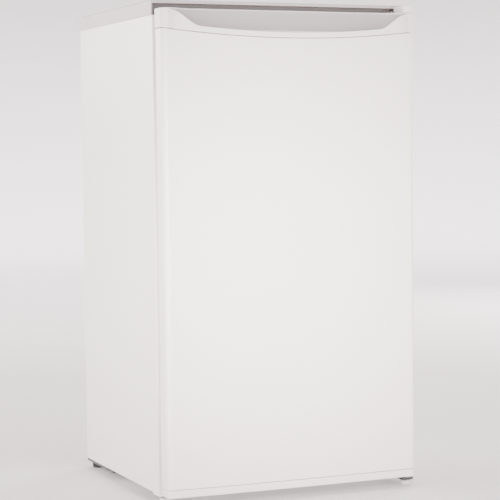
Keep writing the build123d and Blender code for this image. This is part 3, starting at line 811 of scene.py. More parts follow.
@dataclass(frozen=True)
class Paper(Finish):
    """Seamless studio paper with painted light: it emits a glow, brightest at the middle of its far wall, as
    a painted pool of light.
    """

    glow: float = 2.6
    glow_colour: Colour = (1.0, 0.94, 0.935)
    near: tuple[float, float] = (1.5, 7.0)
    wall: tuple[float, float] = (1.6, 0.15)

    def dress(self, graph: Graph) -> dict[str, Any]:
        """A fibre that hardly shows, and a painted glow (emission, not lamp light) that grows along the floor
        and dies up the wall.
        """
        fibre = graph.noise(4 * MM, 4.0)
        place = graph.scaled((1.0, 1.0, 1.0))
        x, y, z = (graph.node("SeparateXYZ", {}, {0: place}, axis) for axis in range(3))
        reach = (x * x + y * y) ** 0.5
        along_floor = 0.07 + 0.93 * graph.window(reach, *self.near)
        share = along_floor * (0.25 + 0.75 * graph.window(z, *self.wall))
        return {
            "Base Color": graph.mix(shaded(self.colour, 0.985), self.colour, fibre),
            "Roughness": self.roughness,
            "Specular IOR Level": 0.2,
            "Normal": graph.bump(fibre, 0.02 * MM),
            # Painted light: the emission paints a pool of glow on the paper, strongest low on the far wall.
            "Emission Color": graph.mix((0.0, 0.0, 0.0), self.glow_colour, share),
            "Emission Strength": self.glow,
        }


WHITE: Colour = (0.80, 0.775, 0.775)
# White moulding for the door's top cap, with painted shade in its finger scoop.
SCOOP_SHADE_MOULDING = ScoopShadeMoulding("moulding_with_painted_scoop_shade", shaded(WHITE, 0.95), 0.42)
# Near-black finish for the rail under the worktop's lip: painted shade, standing in for the shadow in the
# slit above the door.
SLIT_SHADE_MOULDING = Moulded("slit_painted_shade", (0.11, 0.105, 0.105), 0.6)
FINISHES: dict[Slot, Finish] = {
    Slot.WHITE_PAINT: Enamel("baked_white_enamel", WHITE, 0.38),
    Slot.WHITE_PLASTIC: Moulded("white_moulding", shaded(WHITE, 0.95), 0.42),
    Slot.WORKTOP_PLASTIC: Moulded("grained_worktop", shaded(WHITE, 0.54), 0.45, 1.6 * MM, 0.06 * MM),
    Slot.LINER_PLASTIC: Moulded("formed_liner", shaded(WHITE, 1.0), 0.24, 6 * MM, 0.01 * MM, 0.06),
    Slot.FOAM: Foam("rigid_foam", (0.78, 0.66, 0.40), 0.85),
    Slot.GALVANISED: Spangled("galvanised_sheet", (0.62, 0.64, 0.66), 0.42),
    Slot.BLACK_PAINT: Enamel("black_enamel", (0.018, 0.018, 0.019), 0.36, 3 * MM, 0.03 * MM, 0.25),
    Slot.BLACK_PLASTIC: Moulded("black_moulding", (0.022, 0.022, 0.024), 0.48),
    Slot.GASKET_RUBBER: Rubber("magnetic_seal", (0.4, 0.39, 0.385), 0.5, (0.3, 0.29, 0.28), 0.35),
    Slot.BLACK_RUBBER: Rubber("black_rubber", (0.02, 0.02, 0.02), 0.72, (0.09, 0.09, 0.085)),
    Slot.COPPER: Metal("drawn_copper", (0.85, 0.46, 0.30), 0.26, (0.32, 0.17, 0.10), 0.7),
    Slot.ALUMINIUM: Metal(
        "rolled_aluminium", (0.80, 0.81, 0.82), 0.34, (0.62, 0.63, 0.64), 0.5, (0.05, 1.0, 1.0)
    ),
    Slot.SHELF_GLASS: Clear("shelf_glass", (0.62, 0.80, 0.73), 0.03, 0.1, 0.8, 0.001 * MM),
    Slot.CLEAR_PLASTIC: Clear("clear_moulding", (0.74, 0.77, 0.79), 0.1, 0.15, 0.7),
    Slot.CORE_BOARD: Chipboard("chipboard", (0.46, 0.32, 0.19), 0.8),
    Slot.ZINC: Metal("zinc_plate", (0.66, 0.67, 0.68), 0.33, (0.48, 0.46, 0.42), 0.45),
    Slot.GREY_PLASTIC: Moulded("grey_moulding", (0.52, 0.52, 0.52), 0.5),
    Slot.FERRITE: Rubber("ferrite_strip", (0.05, 0.045, 0.042), 0.6, (0.11, 0.1, 0.1)),
    Slot.LAMP_GLASS: Clear("lamp_glass", (0.93, 0.91, 0.86), 0.3, 0.7, 0.95, 0.002 * MM),
}


# ---------------------------------------------------------------- sub-assemblies
@dataclass
class SubAssembly:
    """Some of the refrigerator's pieces, which ride on one body unless a call names another."""

    finishes: dict[Slot, bpy.types.Material]
    body: str = "cabinet"

    def add(
        self,
        name: str,
        patches: Iterable[Patch],
        slot: Slot,
        replaces: Sequence[str] = (),
        body: str | None = None,
        sharp: float = 38.0,
    ) -> bpy.types.Object:
        """Makes a piece, finishes it and puts it on its body.

        Args:
            name: The piece's name.
            patches: Its closed surfaces.
            slot: Material slot that it takes its finish from.
            replaces: CAD nodes that it stands for.
            body: The body that it rides on, where it isn't the sub-assembly's.
            sharp: Edges that turn more than this many degrees stay crisp.

        Returns:
            The piece.
        """
        piece = piece_from(name, patches, sharp)
        piece.data.materials.append(self.finishes[slot])
        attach(piece, body or self.body)
        if replaces:
            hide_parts(*replaces)
        log.info("%s: %d faces", name, len(piece.data.polygons))
        return piece

    def keep(self, *nodes: str, edge: float = 0.0) -> None:
        """Finishes CAD nodes whose shape stays, and softens their edges.

        Args:
            nodes: The CAD nodes.
            edge: Width of the softened edge, or 0 to leave the edges.
        """
        for name in nodes:
            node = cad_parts[name]
            slot = Slot(node.material_slots[0].material.name.split(".")[0])
            node.material_slots[0].material = self.finishes[slot]
            if edge:
                node.modifiers.new("joined", "WELD").merge_threshold = 0.002 * MM
                soft = node.modifiers.new("soft_edges", "BEVEL")
                soft.width, soft.segments, soft.limit_method = edge, 2, "ANGLE"
                soft.angle_limit = math.radians(40)
                node.modifiers.new("even_shading", "WEIGHTED_NORMAL")
            log.info("%s kept", name)


@dataclass
class Cabinet(SubAssembly):
    """Painted shell, base, back and the cold space's liner."""

    sheet: float = 0.9 * MM
    hem: float = 7 * MM
    flange: float = 32 * MM
    fold: float = 1.2 * MM
    liner_wall: float = 1.5 * MM
    liner_corner: float = 16 * MM
    liner_half: float = 194.5 * MM
    liner_top: float = 770.5 * MM
    liner_floor: float = 53.5 * MM
    hump_front: float = 28.3 * MM
    hump_top: float = 219 * MM
    hump_back: float = 233 * MM
    bead_x: tuple[float, ...] = (-0.15, 0.0, 0.15)

    def shell(self) -> None:
        """One sheet folded over both sides and the roof, with a front flange and a rear hem.

        The fold runs up the left side, over the roof and down the right side with mitred corners; its
        section goes from the hem along the outside to the flange's inner edge.
        """
        low, high = span("cabinet_wrapper")
        corners = np.array([(low[0], low[2]), (low[0], high[2]), (high[0], high[2]), (high[0], low[2])])
        inward = np.array([(1.0, 0.0), (1.0, -1.0), (-1.0, -1.0), (-1.0, 0.0)])
        front, rear, r = low[1], high[1], self.fold
        path = np.vstack(
            [
                [(self.hem, rear)],
                bend((r, rear - r), r, 90, 180, 5),
                bend((r, front + r), r, 180, 270, 5),
                bend((self.flange - r, front + r), r, 270, 360, 4),
            ]
        )
        patch = frame_of(corners, inward, doubled(path, self.sheet), Facing.FRONT, closed=False)
        self.add("cabinet_shell", [patch], Slot.WHITE_PAINT, ["cabinet_wrapper"], sharp=50)

    def liner(self) -> None:
        """The cold space: rounded sections from the front flange to the back, stepped over the machine hump.

        Each section is a rounded rectangle whose lower edge follows the hump's outline; the back wall turns
        in on a radius. The same sections, one wall thickness out, close the moulding from behind.
        """
        low, high = span("inner_liner")
        half, top, floor = self.liner_half, self.liner_top, self.liner_floor
        front, back = low[1], high[1] - self.liner_wall
        r, wall = 14 * MM, self.liner_wall
        hump, rise = self.hump_front, self.hump_top
        run = np.vstack(
            [
                [(front, floor), (front + 60 * MM, floor), (hump - 2 * r, floor)],
                bend((hump - r, floor + r), r, 270, 360, 8),
                bend((hump + r, rise - r), r, 180, 90, 8),
                [(back - 2.2 * r, self.hump_back - 2 * MM), (back - r, self.hump_back - 1 * MM)],
            ]
        )
        turn = bend((back - r, 0.0), r, 90, 0, 7)
        inset = np.concatenate([np.zeros(len(run)), r - turn[:, 1]])
        y = np.concatenate([run[:, 0], turn[:, 0]])
        z = np.concatenate([run[:, 1], np.full(len(turn), self.hump_back)])

        def section(level: float, bottom: float, inwards: float) -> Array:
            """One rounded section at a depth."""
            outline = rounded(
                (-half + inwards, bottom + inwards), (half - inwards, top - inwards), self.liner_corner, 9, 6
            )
            return np.column_stack([outline.points, np.full(len(outline.points), level)])

        inside = np.stack([section(a, b, c) for a, b, c in zip(y, z, inset)])
        behind = doubled(run, -wall)[len(run):][::-1]
        y_out = np.concatenate([behind[:, 0], turn[:, 0] + wall])
        z_out = np.concatenate([behind[:, 1] + wall, np.full(len(turn), self.hump_back)])
        outside = np.stack([section(a, b, c - wall) for a, b, c in zip(y_out, z_out, inset)])[::-1]
        outside[-1, :, 2] += 1.5 * MM
        lip = section(front + 1.5 * MM, floor, -19 * MM)[None]
        lip_front = section(front, floor, -19 * MM)[None]
        close = [np.broadcast_to(g.mean(axis=0), g.shape)[None] for g in (outside[0], inside[-1])]
        grid = np.concatenate([close[0], outside, lip, lip_front, inside, close[1]])
        patches = [lattice(in_world(grid, Facing.FRONT))]
        ledge, rail = 9 * MM, 5 * MM
        for node in ("upper_shelf_glass", "lower_shelf_glass", "crisper_cover"):
            shelf_low = span(node)[0]
            for side in (-1, 1):
                near, far = sorted((side * (half - ledge), side * (half + 0.5 * MM)))
                corner = (near, shelf_low[1] + 2 * MM, shelf_low[2] - 0.3 * MM - rail)
                patches.append(brick(corner, (far, back, shelf_low[2] - 0.3 * MM), 1.2 * MM, Facing.FRONT))
        self.add("cold_space_liner", patches, Slot.LINER_PLASTIC, ["inner_liner"])

    def back(self) -> None:
        """Galvanised back panel with pressed beads: each bead is an eased ridge over a rounded outline."""
        low, high = span("back_panel")
        beads = [np.linspace(x - 8 * MM, x + 8 * MM, 17) for x in self.bead_x]
        across = np.unique(np.concatenate([[low[0], high[0]], *beads]))
        ends = [np.linspace(z - 10 * MM, z + 10 * MM, 9) for z in (0.26, 0.76)]
        up = np.unique(np.concatenate([[low[2], high[2]], *ends, np.linspace(0.28, 0.74, 9)]))
        x, z = np.meshgrid(across, up)
        depth = sum(
            smooth(edge_distance(x, z, (bead - 6 * MM, 0.26), (bead + 6 * MM, 0.76), 5.9 * MM) / (4 * MM))
            for bead in self.bead_x
        )
        face = low[1] + 1.0 * MM + 1.5 * MM * depth
        self.add("back_sheet", [pressed(across, up, face, low[1])], Slot.GALVANISED, ["back_panel"])

    def build(self) -> None:
        """Makes the cabinet's pieces."""
        self.shell()
        self.liner()
        self.back()
        self.keep("base_pan", "machine_bay_panel", edge=0.3 * MM)
        self.keep("cabinet_foam", "worktop_core")
        self.keep("wall_spacers", edge=0.8 * MM)


@dataclass
class Worktop(SubAssembly):
    """Grained worktop: a plate with side and rear skirts and a thin front lip."""

    skirt: float = 3 * MM
    plate: float = 5.5 * MM
    front_corner: float = 3 * MM
    rear_corner: float = 9 * MM
    edge: float = 2.6 * MM
    rail: float = 1.6 * MM
    rail_end: float = 213 * MM

    def build(self) -> None:
        """Carries the skirt's section round the outline; its lower edge is high along the front.

        Height of the lower edge: the skirt's foot everywhere, but the plate's underside where the outline
        faces the front.
        """
        low, high = span("worktop")
        radii = (self.rear_corner, self.rear_corner, self.front_corner, self.front_corner)
        whole = rounded(low[:2], high[:2], radii, 9, 3)
        facing_front = whole.normals[:, 1] < -0.5
        foot = np.where(facing_front, high[2] - self.plate, low[2])
        under = np.full(len(foot), high[2] - self.plate)
        small = 0.8 * MM
        rows: list[tuple[Any, Any]] = [(self.skirt + 6 * MM, under), (self.skirt, under)]
        rows.append((self.skirt, foot + small))
        rows += [(inset, foot + rise) for inset, rise in bend((self.skirt - small, small), small, 0, -90, 4)]
        rows += [(inset, foot + rise) for inset, rise in bend((small, small), small, 270, 180, 4)]
        rounding = bend((self.edge, high[2] - self.edge), self.edge, 180, 90, 9)
        rows += [(inset, np.full(len(foot), height)) for inset, height in rounding]
        rows.append((self.edge + 8 * MM, np.full(len(foot), high[2])))
        inset = np.array([np.broadcast_to(row[0], len(foot)) for row in rows])
        level = np.array([np.broadcast_to(row[1], len(foot)) for row in rows])
        self.add("worktop_moulding", [carried(whole, inset, level)], Slot.WORKTOP_PLASTIC, ["worktop"])
        board_low = span("worktop_core")[0]
        rail = brick(
            (low[0] + self.skirt, board_low[1] - self.rail, low[2] + 0.3 * MM),
            (self.rail_end, board_low[1], high[2] - self.plate - 0.3 * MM),
            0.6 * MM,
            Facing.SIDE,
        )
        # The rail gets the near-black finish: painted shade in the slit under the lip.
        slit_shade_rail = self.add("worktop_front_rail", [rail], Slot.WORKTOP_PLASTIC)
        slit_shade_rail.data.materials[0] = SLIT_SHADE_MOULDING.make()


@dataclass
class Door(SubAssembly):
    """The door's skin, caps, inner moulding and seal."""

    body: str = "door"
    bow: float = 4 * MM
    front_corner: float = 10 * MM
    proud: float = 1 * MM
    seam_end: float = 790 * MM
    seam_mid: float = 776 * MM
    seam_gap: float = 0.7 * MM
    rim_mid: float = 787 * MM
    rim_rise: float = 8 * MM
    scoop_flat: float = 165 * MM
    scoop_end: float = 219 * MM
    scoop_depth: float = 17 * MM
    field_rise: float = 9 * MM
    lug_drop: float = 18 * MM
    lug_y: tuple[float, float] = (-166 * MM, -140 * MM)
    low: Array = field(init=False)
    high: Array = field(init=False)

    def __post_init__(self) -> None:
        """Takes the door's box from its caps."""
        self.low = np.minimum(span("door_top_cap")[0], span("door_bottom_cap")[0])
        self.high = span("door_top_cap")[1]

    def seam(self, x: Array) -> Array:
        """Height of the arched joint: a circle through its two ends and its middle."""
        half, rise = self.high[0], self.seam_end - self.seam_mid
        radius = (half**2 + rise**2) / (2 * rise)
        return self.seam_mid + radius - np.sqrt(radius**2 - np.minimum(np.abs(x), half) ** 2)

    def plan(self, inset: float, run: int = 60) -> Outline:
        """The door from above: square back, and a front that bows out by a parabola between round corners."""
        low, high = self.low[:2] + inset, self.high[:2] - inset
        low[1] += self.bow
        high[1] = span("door_skin")[1][1]
        corner = self.front_corner - inset
        outline = rounded(low, high, (1.2 * MM, 1.2 * MM, corner, corner), 11, run)
        half = high[0]
        swell = self.bow * (1 - (outline.points[:, 0] / half) ** 2) * (outline.normals[:, 1] < -0.01)
        points = outline.points - np.column_stack([np.zeros(len(swell)), swell])
        return Outline(points, outline.normals, outline.spine)

    def steel(self) -> None:
        """Folded skin: a thin plate carried up from the bottom cap to the arched joint, with rolled ends."""
        plan = self.plan(self.proud)
        low = span("door_skin")[0][2]
        top = self.seam(plan.points[:, 0]) - self.seam_gap
        r, wall = 1.4 * MM, 24 * MM
        levels = np.linspace(low + r, top - r, 14)
        roll_top = bend((r, -r), r, 180, 90, 5)
        roll_low = bend((r, r), r, 270, 180, 5)
        inset = np.concatenate([[wall / 2], roll_low[:, 0], np.zeros(14), roll_top[:, 0], [wall / 2]])
        level = np.vstack(
            [
                np.broadcast_to(low, (1, len(top))),
                np.broadcast_to(low + roll_low[:, 1:], (5, len(top))),
                levels,
                top + roll_top[:, 1:],
                top[None],
            ]
        )
        self.add("door_panel", [carried(plan, inset, level)], Slot.WHITE_PAINT, ["door_skin"])

    def top_cap(self) -> None:
        """Top cap with its finger scoop.

        Up the front the wall runs from the arched joint to the scoop's rim; from there the scoop is a
        quarter ellipse: inset = depth sin a, height = rim + (top - rim) (1 - cos a). The rim is a shallow
        parabola that rises to the top at both ends, where the depth dies away.
        """
        plan = self.plan(0.0, 150)
        x = plan.points[:, 0]
        top = self.high[2]
        foot = self.seam(x)
        front = plan.normals[:, 1] < -0.99
        rise = smooth((np.abs(x) - self.scoop_flat) / (self.scoop_end - self.scoop_flat))
        base = self.rim_mid + self.rim_rise * (x / self.scoop_flat) ** 2
        edge = 1.6 * MM
        rim = np.where(front, np.minimum(base + (top - base) * rise, top), top) - 2 * edge
        depth = np.where(front, self.scoop_depth * (1 - rise) ** 0.7, 0.0)
        small = 1.1 * MM
        inset, level = [np.full(len(x), 9 * MM)], [foot]
        for across, up in bend((small, small), small, 270, 180, 5):
            inset.append(np.full(len(x), across))
            level.append(foot + up)
        for share in np.linspace(0.2, 1.0, 5):
            inset.append(np.zeros(len(x)))
            level.append(foot + small + (rim - foot - small) * share)
        soft = 1.8 * MM * np.minimum(depth / (4 * MM), 1.0)
        for angle in np.radians(np.linspace(0, 75, 6)[1:]):
            inset.append(soft * (1 - np.cos(angle)))
            level.append(rim + soft * np.sin(angle) * 0.8)
        start = soft * (1 - np.cos(np.radians(75)))
        begin = rim + soft * np.sin(np.radians(75)) * 0.8
        for angle in np.radians(np.linspace(8, 84, 12)):
            inset.append(start + np.maximum(depth - start, 0) * np.sin(angle))
            level.append(begin + (top - edge - begin) * (1 - np.cos(angle)))
        for across, up in bend((edge, top - edge), edge, 180, 90, 6):
            inset.append(np.maximum(depth, start) + across)
            level.append(np.full(len(x), up))
        inset.append(np.maximum(depth, start) + edge + 1.5 * MM)
        level.append(np.full(len(x), top))
        patch = carried(plan, np.array(inset), np.array(level))
        cap = self.add("door_grip_cap", [patch], Slot.WHITE_PLASTIC, ["door_top_cap"], sharp=48)
        # The cap takes the moulding with painted shade in its scoop.
        cap.data.materials[0] = SCOOP_SHADE_MOULDING.make()

    def bottom_cap(self) -> None:
        """Bottom cap: a tray under the skin with a softened lower edge."""
        low, high = span("door_bottom_cap")
        patch = slab(self.plan(self.proud), low[2], high[2] - 0.5 * MM, (2.5 * MM, 0.8 * MM))
        self.add("door_foot_cap", [patch], Slot.WHITE_PLASTIC, ["door_bottom_cap"])

    def inner_moulding(self) -> None:
        """Inner face: a raised field and two upright walls that carry the bins.

        Its height over the rim is 9 mm inside the field's rounded outline plus the walls' own height inside
        theirs, each eased in over a few millimetres of draft. Small ledges on the walls hold the bins' lugs.
        """
        low, high = span("door_liner")
        field_low, field_high = (-186 * MM, 60 * MM), (186 * MM, 766 * MM)
        wall_z = (72 * MM, 762 * MM)
        inner, outer, tip = 160 * MM, 180 * MM, high[1]
        inner_slope = np.linspace(inner - 1 * MM, inner + 7 * MM, 12)
        outer_slope = np.linspace(outer - 7 * MM, 187 * MM, 15)
        fine = np.concatenate([inner_slope, outer_slope])
        across = np.unique(np.round(np.concatenate([-fine, fine, np.linspace(low[0], high[0], 25)]), 5))
        rims = [np.linspace(z - 3 * MM, z + 12 * MM, 14) for z in (60 * MM, 72 * MM)]
        tops = [np.linspace(z - 12 * MM, z + 3 * MM, 14) for z in (762 * MM, 766 * MM)]
        up = np.concatenate([[low[2], high[2]], *rims, *tops, np.linspace(0.1, 0.74, 24)])
        up = np.unique(np.round(up[(up >= low[2]) & (up <= high[2])], 5))
        up = up[up < self.seam(np.zeros(1))[0] - 1 * MM]
        x, z = np.meshgrid(across, up)
        flat = low[1] + 1.5 * MM
        over_field = edge_distance(x, z, field_low, field_high, 12 * MM)
        relief = flat + self.field_rise * smooth(over_field / (5 * MM))
        for side in (-1, 1):
            near, far = sorted((side * inner, side * outer))
            inside = edge_distance(x, z, (near, wall_z[0]), (far, wall_z[1]), 8 * MM)
            relief = np.maximum(relief, flat + (tip - flat) * smooth(inside / (4.5 * MM)) ** 0.6)
        patches = [pressed(across, up, relief, low[1])]
        for name in ("bottle", "middle", "upper"):
            top = span(f"{name}_door_bin")[1][2] - self.lug_drop - 0.3 * MM
            for side in (-1, 1):
                near, far = sorted((side * 156.2 * MM, side * (inner + 3 * MM)))
                rear, fore = self.lug_y[0] - 2 * MM, self.lug_y[1] + 2 * MM
                ledge = brick((near, rear, top - 5 * MM), (far, fore, top), 1 * MM, Facing.FRONT)
                patches.append(ledge)
        self.add("door_inner_moulding", patches, Slot.LINER_PLASTIC, ["door_liner"])

    def foam(self) -> None:
        """Foam inside the door and inside the two upright walls."""
        plan = self.plan(3.0 * MM)
        behind = span("door_liner")[0][1] - 1 * MM
        held = Outline(np.minimum(plan.points, (1.0, behind)), plan.normals, plan.spine)
        core = slab(held, span("door_foam")[0][2], self.seam_mid - 2 * MM, (1 * MM, 1 * MM))
        walls = []
        for side in (-1, 1):
            middle = side * 170 * MM
            near, far = middle - 4 * MM, middle + 4 * MM
            walls.append(brick((near, -190 * MM, 84 * MM), (far, -138 * MM, 750 * MM), 2 * MM))
        self.add("door_core", [core, *walls], Slot.FOAM, ["door_foam"])

    def seal(self) -> None:
        """Seal: one section of magnet tube, bellows and fins carried round four mitred corners."""
        low, high = span("door_gasket")
        deep = high[1] - low[1]
        outer_fin = [(2.5, 0.0), (0.6, 1.4), (0.2, 3.4), (3.0, 2.6)]
        bellows = [(4.6, 4.4), (2.4, 6.2), (1.2, 8.6), (1.6, 11.0)]
        magnet_tube = [(7.5, 11.3), (13.8, 11.0), (14.4, 7.4), (12.6, 5.6)]
        inner_fin = [(15.2, 4.8), (19.4, 4.2), (19.8, 1.8), (18.0, 0.0)]
        section = np.array([*outer_fin, *bellows, *magnet_tube, *inner_fin])
        shape = eased(section * MM * np.array([1.0, deep / (11.2 * MM)]))
        shape[:, 1] = np.minimum(shape[:, 1], deep) + low[1]
        corners, inward = window((low[0], low[2]), (high[0], high[2]))
        patch = frame_of(corners, inward, shape, Facing.FRONT)
        self.add("door_seal", [patch], Slot.GASKET_RUBBER, ["door_gasket"], sharp=60)

    def bins(self) -> None:
        """Three open bins: a tub with a beaded rim and a lug at each end."""
        half = 155.5 * MM
        for name in ("bottle", "middle", "upper"):
            low, high = span(f"{name}_door_bin")
            outline = rounded((-half, low[1]), (half, high[1]), (6 * MM, 6 * MM, 2.5 * MM, 2.5 * MM), 9, 8)
            patches = [tub(outline, low[2], high[2], 2 * MM, 4 * MM, 0.8 * MM)]
            for side in (-1, 1):
                near, far = sorted((side * (half - 1 * MM), side * high[0]))
                lug = high[2] - self.lug_drop
                rear, fore = self.lug_y
                patches.append(brick((near, rear, lug), (far, fore, lug + 10 * MM), 1 * MM, Facing.FRONT))
            self.add(f"{name}_bin", patches, Slot.CLEAR_PLASTIC, [f"{name}_door_bin"], body=f"{name}_bin")

    def build(self) -> None:
        """Makes the door's pieces."""
        self.steel()
        self.top_cap()
        self.bottom_cap()
        self.inner_moulding()
        self.seal()
        self.bins()
        self.foam()
        self.keep("hinge_bushings", "gasket_magnets")


@dataclass
class ColdSpace(SubAssembly):
    """Shelves, crisper, freezer box and its flap, drip tray and the controls."""

    channel: float = 2.2 * MM
    channel_z: float = 645.4 * MM
    passes: int = 9
    dial_back: float = -90.4 * MM

    def shelves(self) -> None:
        """Glass plates with ground edges in front and rear trims."""
        for name in ("upper", "lower"):
            body = f"{name}_shelf"
            low, high = span(f"{name}_shelf_glass")
            plate = slab(rounded(low[:2], high[:2], 3 * MM, 6), low[2], high[2], (0.6 * MM, 0.6 * MM))
            self.add(f"{name}_plate", [plate], Slot.SHELF_GLASS, [f"{name}_shelf_glass"], body)
            trim_low, trim_high = span(f"{name}_shelf_trims")
            left, right = trim_low[0], trim_high[0]
            front, back = trim_low[1], trim_high[1]
            under, over, base = low[2], high[2], trim_low[2]
            parts = [
                brick((left, front, over), (right, front + 12 * MM, over + 2.5 * MM), 1 * MM, Facing.SIDE),
                brick((left, front, base), (right, front + 3 * MM, over + 2 * MM), 1.3 * MM, Facing.SIDE),
                brick((left, back - 3 * MM, under), (right, back, trim_high[2]), 1.2 * MM, Facing.SIDE),
            ]
            self.add(f"{name}_trims", parts, Slot.WHITE_PLASTIC, [f"{name}_shelf_trims"], body)
        low, high = span("crisper_cover")
        cover = slab(rounded(low[:2], high[:2], 2 * MM, 5), low[2], high[2], (0.6 * MM, 0.6 * MM))
        self.add("crisper_lid", [cover], Slot.SHELF_GLASS, ["crisper_cover"])

    def crisper(self) -> None:
        """Drawer: a tub with a beaded rim and a finger ledge across its front."""
        low, high = span("crisper_drawer")
        outline = rounded((low[0], low[1] + 4 * MM), high[:2], 6 * MM, 9, 6)
        ledge = brick(
            (low[0] + 1 * MM, low[1], high[2] - 24 * MM),
            (high[0] - 1 * MM, low[1] + 5 * MM, high[2] - 8 * MM),
            1.8 * MM,
            Facing.SIDE,
        )
        body = tub(outline, low[2], high[2], 2 * MM, 5 * MM, 1 * MM)
        self.add("crisper_tub", [body, ledge], Slot.CLEAR_PLASTIC, ["crisper_drawer"], "crisper")
        low, high = span("drip_tray")
        tray = tub(rounded(low[:2], high[:2], 4 * MM, 6, 4), low[2], high[2], 2 * MM, 3 * MM)
        self.add("melt_tray", [tray], Slot.CLEAR_PLASTIC, ["drip_tray"], "drip_tray_body")

    def freezer(self) -> None:
        """Refrigerant channels blown into the freezer box, its flap and frame.

        A channel's line runs back and forth: its X steps over at each end by a half circle while its Y
        goes from front to back.
        """
        low, high = span("evaporator_box")
        left, right = low[0] + 26 * MM, high[0] - 26 * MM
        front, back = low[1] + 26 * MM, high[1] - 22 * MM
        lines = np.linspace(left, right, self.passes)
        pitch = lines[1] - lines[0]
        path = []
        for index, x in enumerate(lines):
            ends = (front, back) if index % 2 == 0 else (back, front)
            path.append(np.column_stack([np.full(9, x), np.linspace(*ends, 9)]))
            if index < self.passes - 1:
                outward = 1 if index % 2 == 0 else -1
                arc = bend((0, 0), pitch / 2, 180, 0, 8)[1:-1]
                path.append(np.column_stack([x + pitch / 2 + arc[:, 0], ends[1] + outward * arc[:, 1]]))
        flat = np.vstack(path)
        under = np.column_stack([flat, np.full(len(flat), self.channel_z)])
        self.add("freezer_channels", [tube(under, self.channel, (0, 0, 1), 10)], Slot.ALUMINIUM)
        self.keep("evaporator_box", edge=0.5 * MM)
        self.keep("freezer_frame", "freezer_flap", edge=0.8 * MM)

    def controls(self) -> None:
        """Thermostat housing, lamp and dial; the dial's grip is lobed and has a pointer and setting pips."""
        self.keep("thermostat_housing", edge=0.8 * MM)
        self.keep("thermostat_body", "lamp", "light_switch_plunger")
        self.keep("lamp_cover", edge=0.4 * MM)
        low, high = span("thermostat_dial")
        x, z = (low[0] + high[0]) / 2, (low[2] + high[2]) / 2
        front, r = low[1] + 3 * MM, (high[0] - low[0]) / 2 - 0.4 * MM
        shoulder = bend((3 * MM, front + 3 * MM), 3 * MM, 270, 180, 5)
        profile = np.vstack([shoulder, [(0.0, self.dial_back), (0.8 * MM, self.dial_back)]])
        rim = circle((x, z), r, 144, 24, 0.4 * MM)
        grip = rounded((x - 3 * MM, z - 16 * MM), (x + 3 * MM, z + 16 * MM), 2.9 * MM, 7)
        shaft = circle((x, z), 3 * MM, 24)
        patches = [
            carried(rim, profile[:, 0], profile[:, 1], Facing.FRONT),
            slab(grip, low[1], front + 2 * MM, (1 * MM, 0.1 * MM), Facing.FRONT),
            slab(shaft, -91 * MM, high[1], (0.1 * MM, 0.4 * MM), Facing.FRONT),
        ]
        for step, angle in enumerate(np.radians(np.linspace(210, -30, 7))):
            size = (0.6 + 0.12 * step) * MM
            at = np.array([x, z]) + 14.2 * MM * np.array([math.cos(angle), math.sin(angle)])
            pip = circle(at, size, 16)
            patches.append(slab(pip, front - 0.4 * MM, front + 1 * MM, (0.3 * MM, 0.1 * MM), Facing.FRONT))
        self.add("setting_dial", patches, Slot.WHITE_PLASTIC, ["thermostat_dial"], "dial")

    def build(self) -> None:
        """Makes what is inside the cabinet."""
        self.shelves()
        self.crisper()
        self.freezer()
        self.controls()


@dataclass
class Machine(SubAssembly):
    """Compressor, its mounts and box, pipes and the condenser."""

    seam_height: float = 76.5 * MM
    axis: tuple[float, float] = (40 * MM, 138 * MM)
    radius: float = 60 * MM

    def compressor(self) -> None:
        """Turned shell: domed top and bottom, and the welded lap round its middle; a pressed foot plate."""
        low, high = span("compressor")
        (x, y), r, base = self.axis, self.radius, low[2]
        top, lap = high[2], base + self.seam_height
        profile = np.vstack(
            [
                bend((r - 18 * MM, base + 21 * MM), 18 * MM, 270, 360, 9),
                [(r, lap - 4 * MM)],
                bend((r + 2.4 * MM, lap - 1 * MM), 1.6 * MM, 270, 360, 5),
                bend((r + 2.4 * MM, lap + 1.5 * MM), 1.6 * MM, 0, 90, 5),
                [(r - 1.2 * MM, lap + 4.2 * MM)],
                bend((r - 33 * MM, top - 32 * MM), 31.8 * MM, 0, 78, 12),
                [(14 * MM, top - 0.2 * MM)],
            ]
        )
        shell = drum((x, y), profile, count=96)
        foot = rounded((low[0], low[1]), (high[0], y + (y - low[1])), 12 * MM, 9)
        plate = slab(foot, base, base + 3 * MM, (0.6 * MM, 1 * MM))
        run = np.array([(10 * MM, depth * MM, 88 * MM) for depth in (170, 184, 196)])
        stub = tube(run, 4 * MM, (0, 0, 1), 20)
        self.add("compressor_shell", [shell, plate, stub], Slot.BLACK_PAINT, ["compressor"])

    def build(self) -> None:
        """Makes the machine compartment's pieces."""
        self.compressor()
        self.keep("compressor_base_plate", "evaporation_tray", "condenser_brackets", edge=0.4 * MM)
        self.keep(
            "compressor_grommets", "compressor_studs", "relay_box", "condenser_coil", "condenser_wires",
            "filter_drier", "discharge_tube", "suction_tube", "capillary_tube", "drain_tube", "cord_gland",
        )


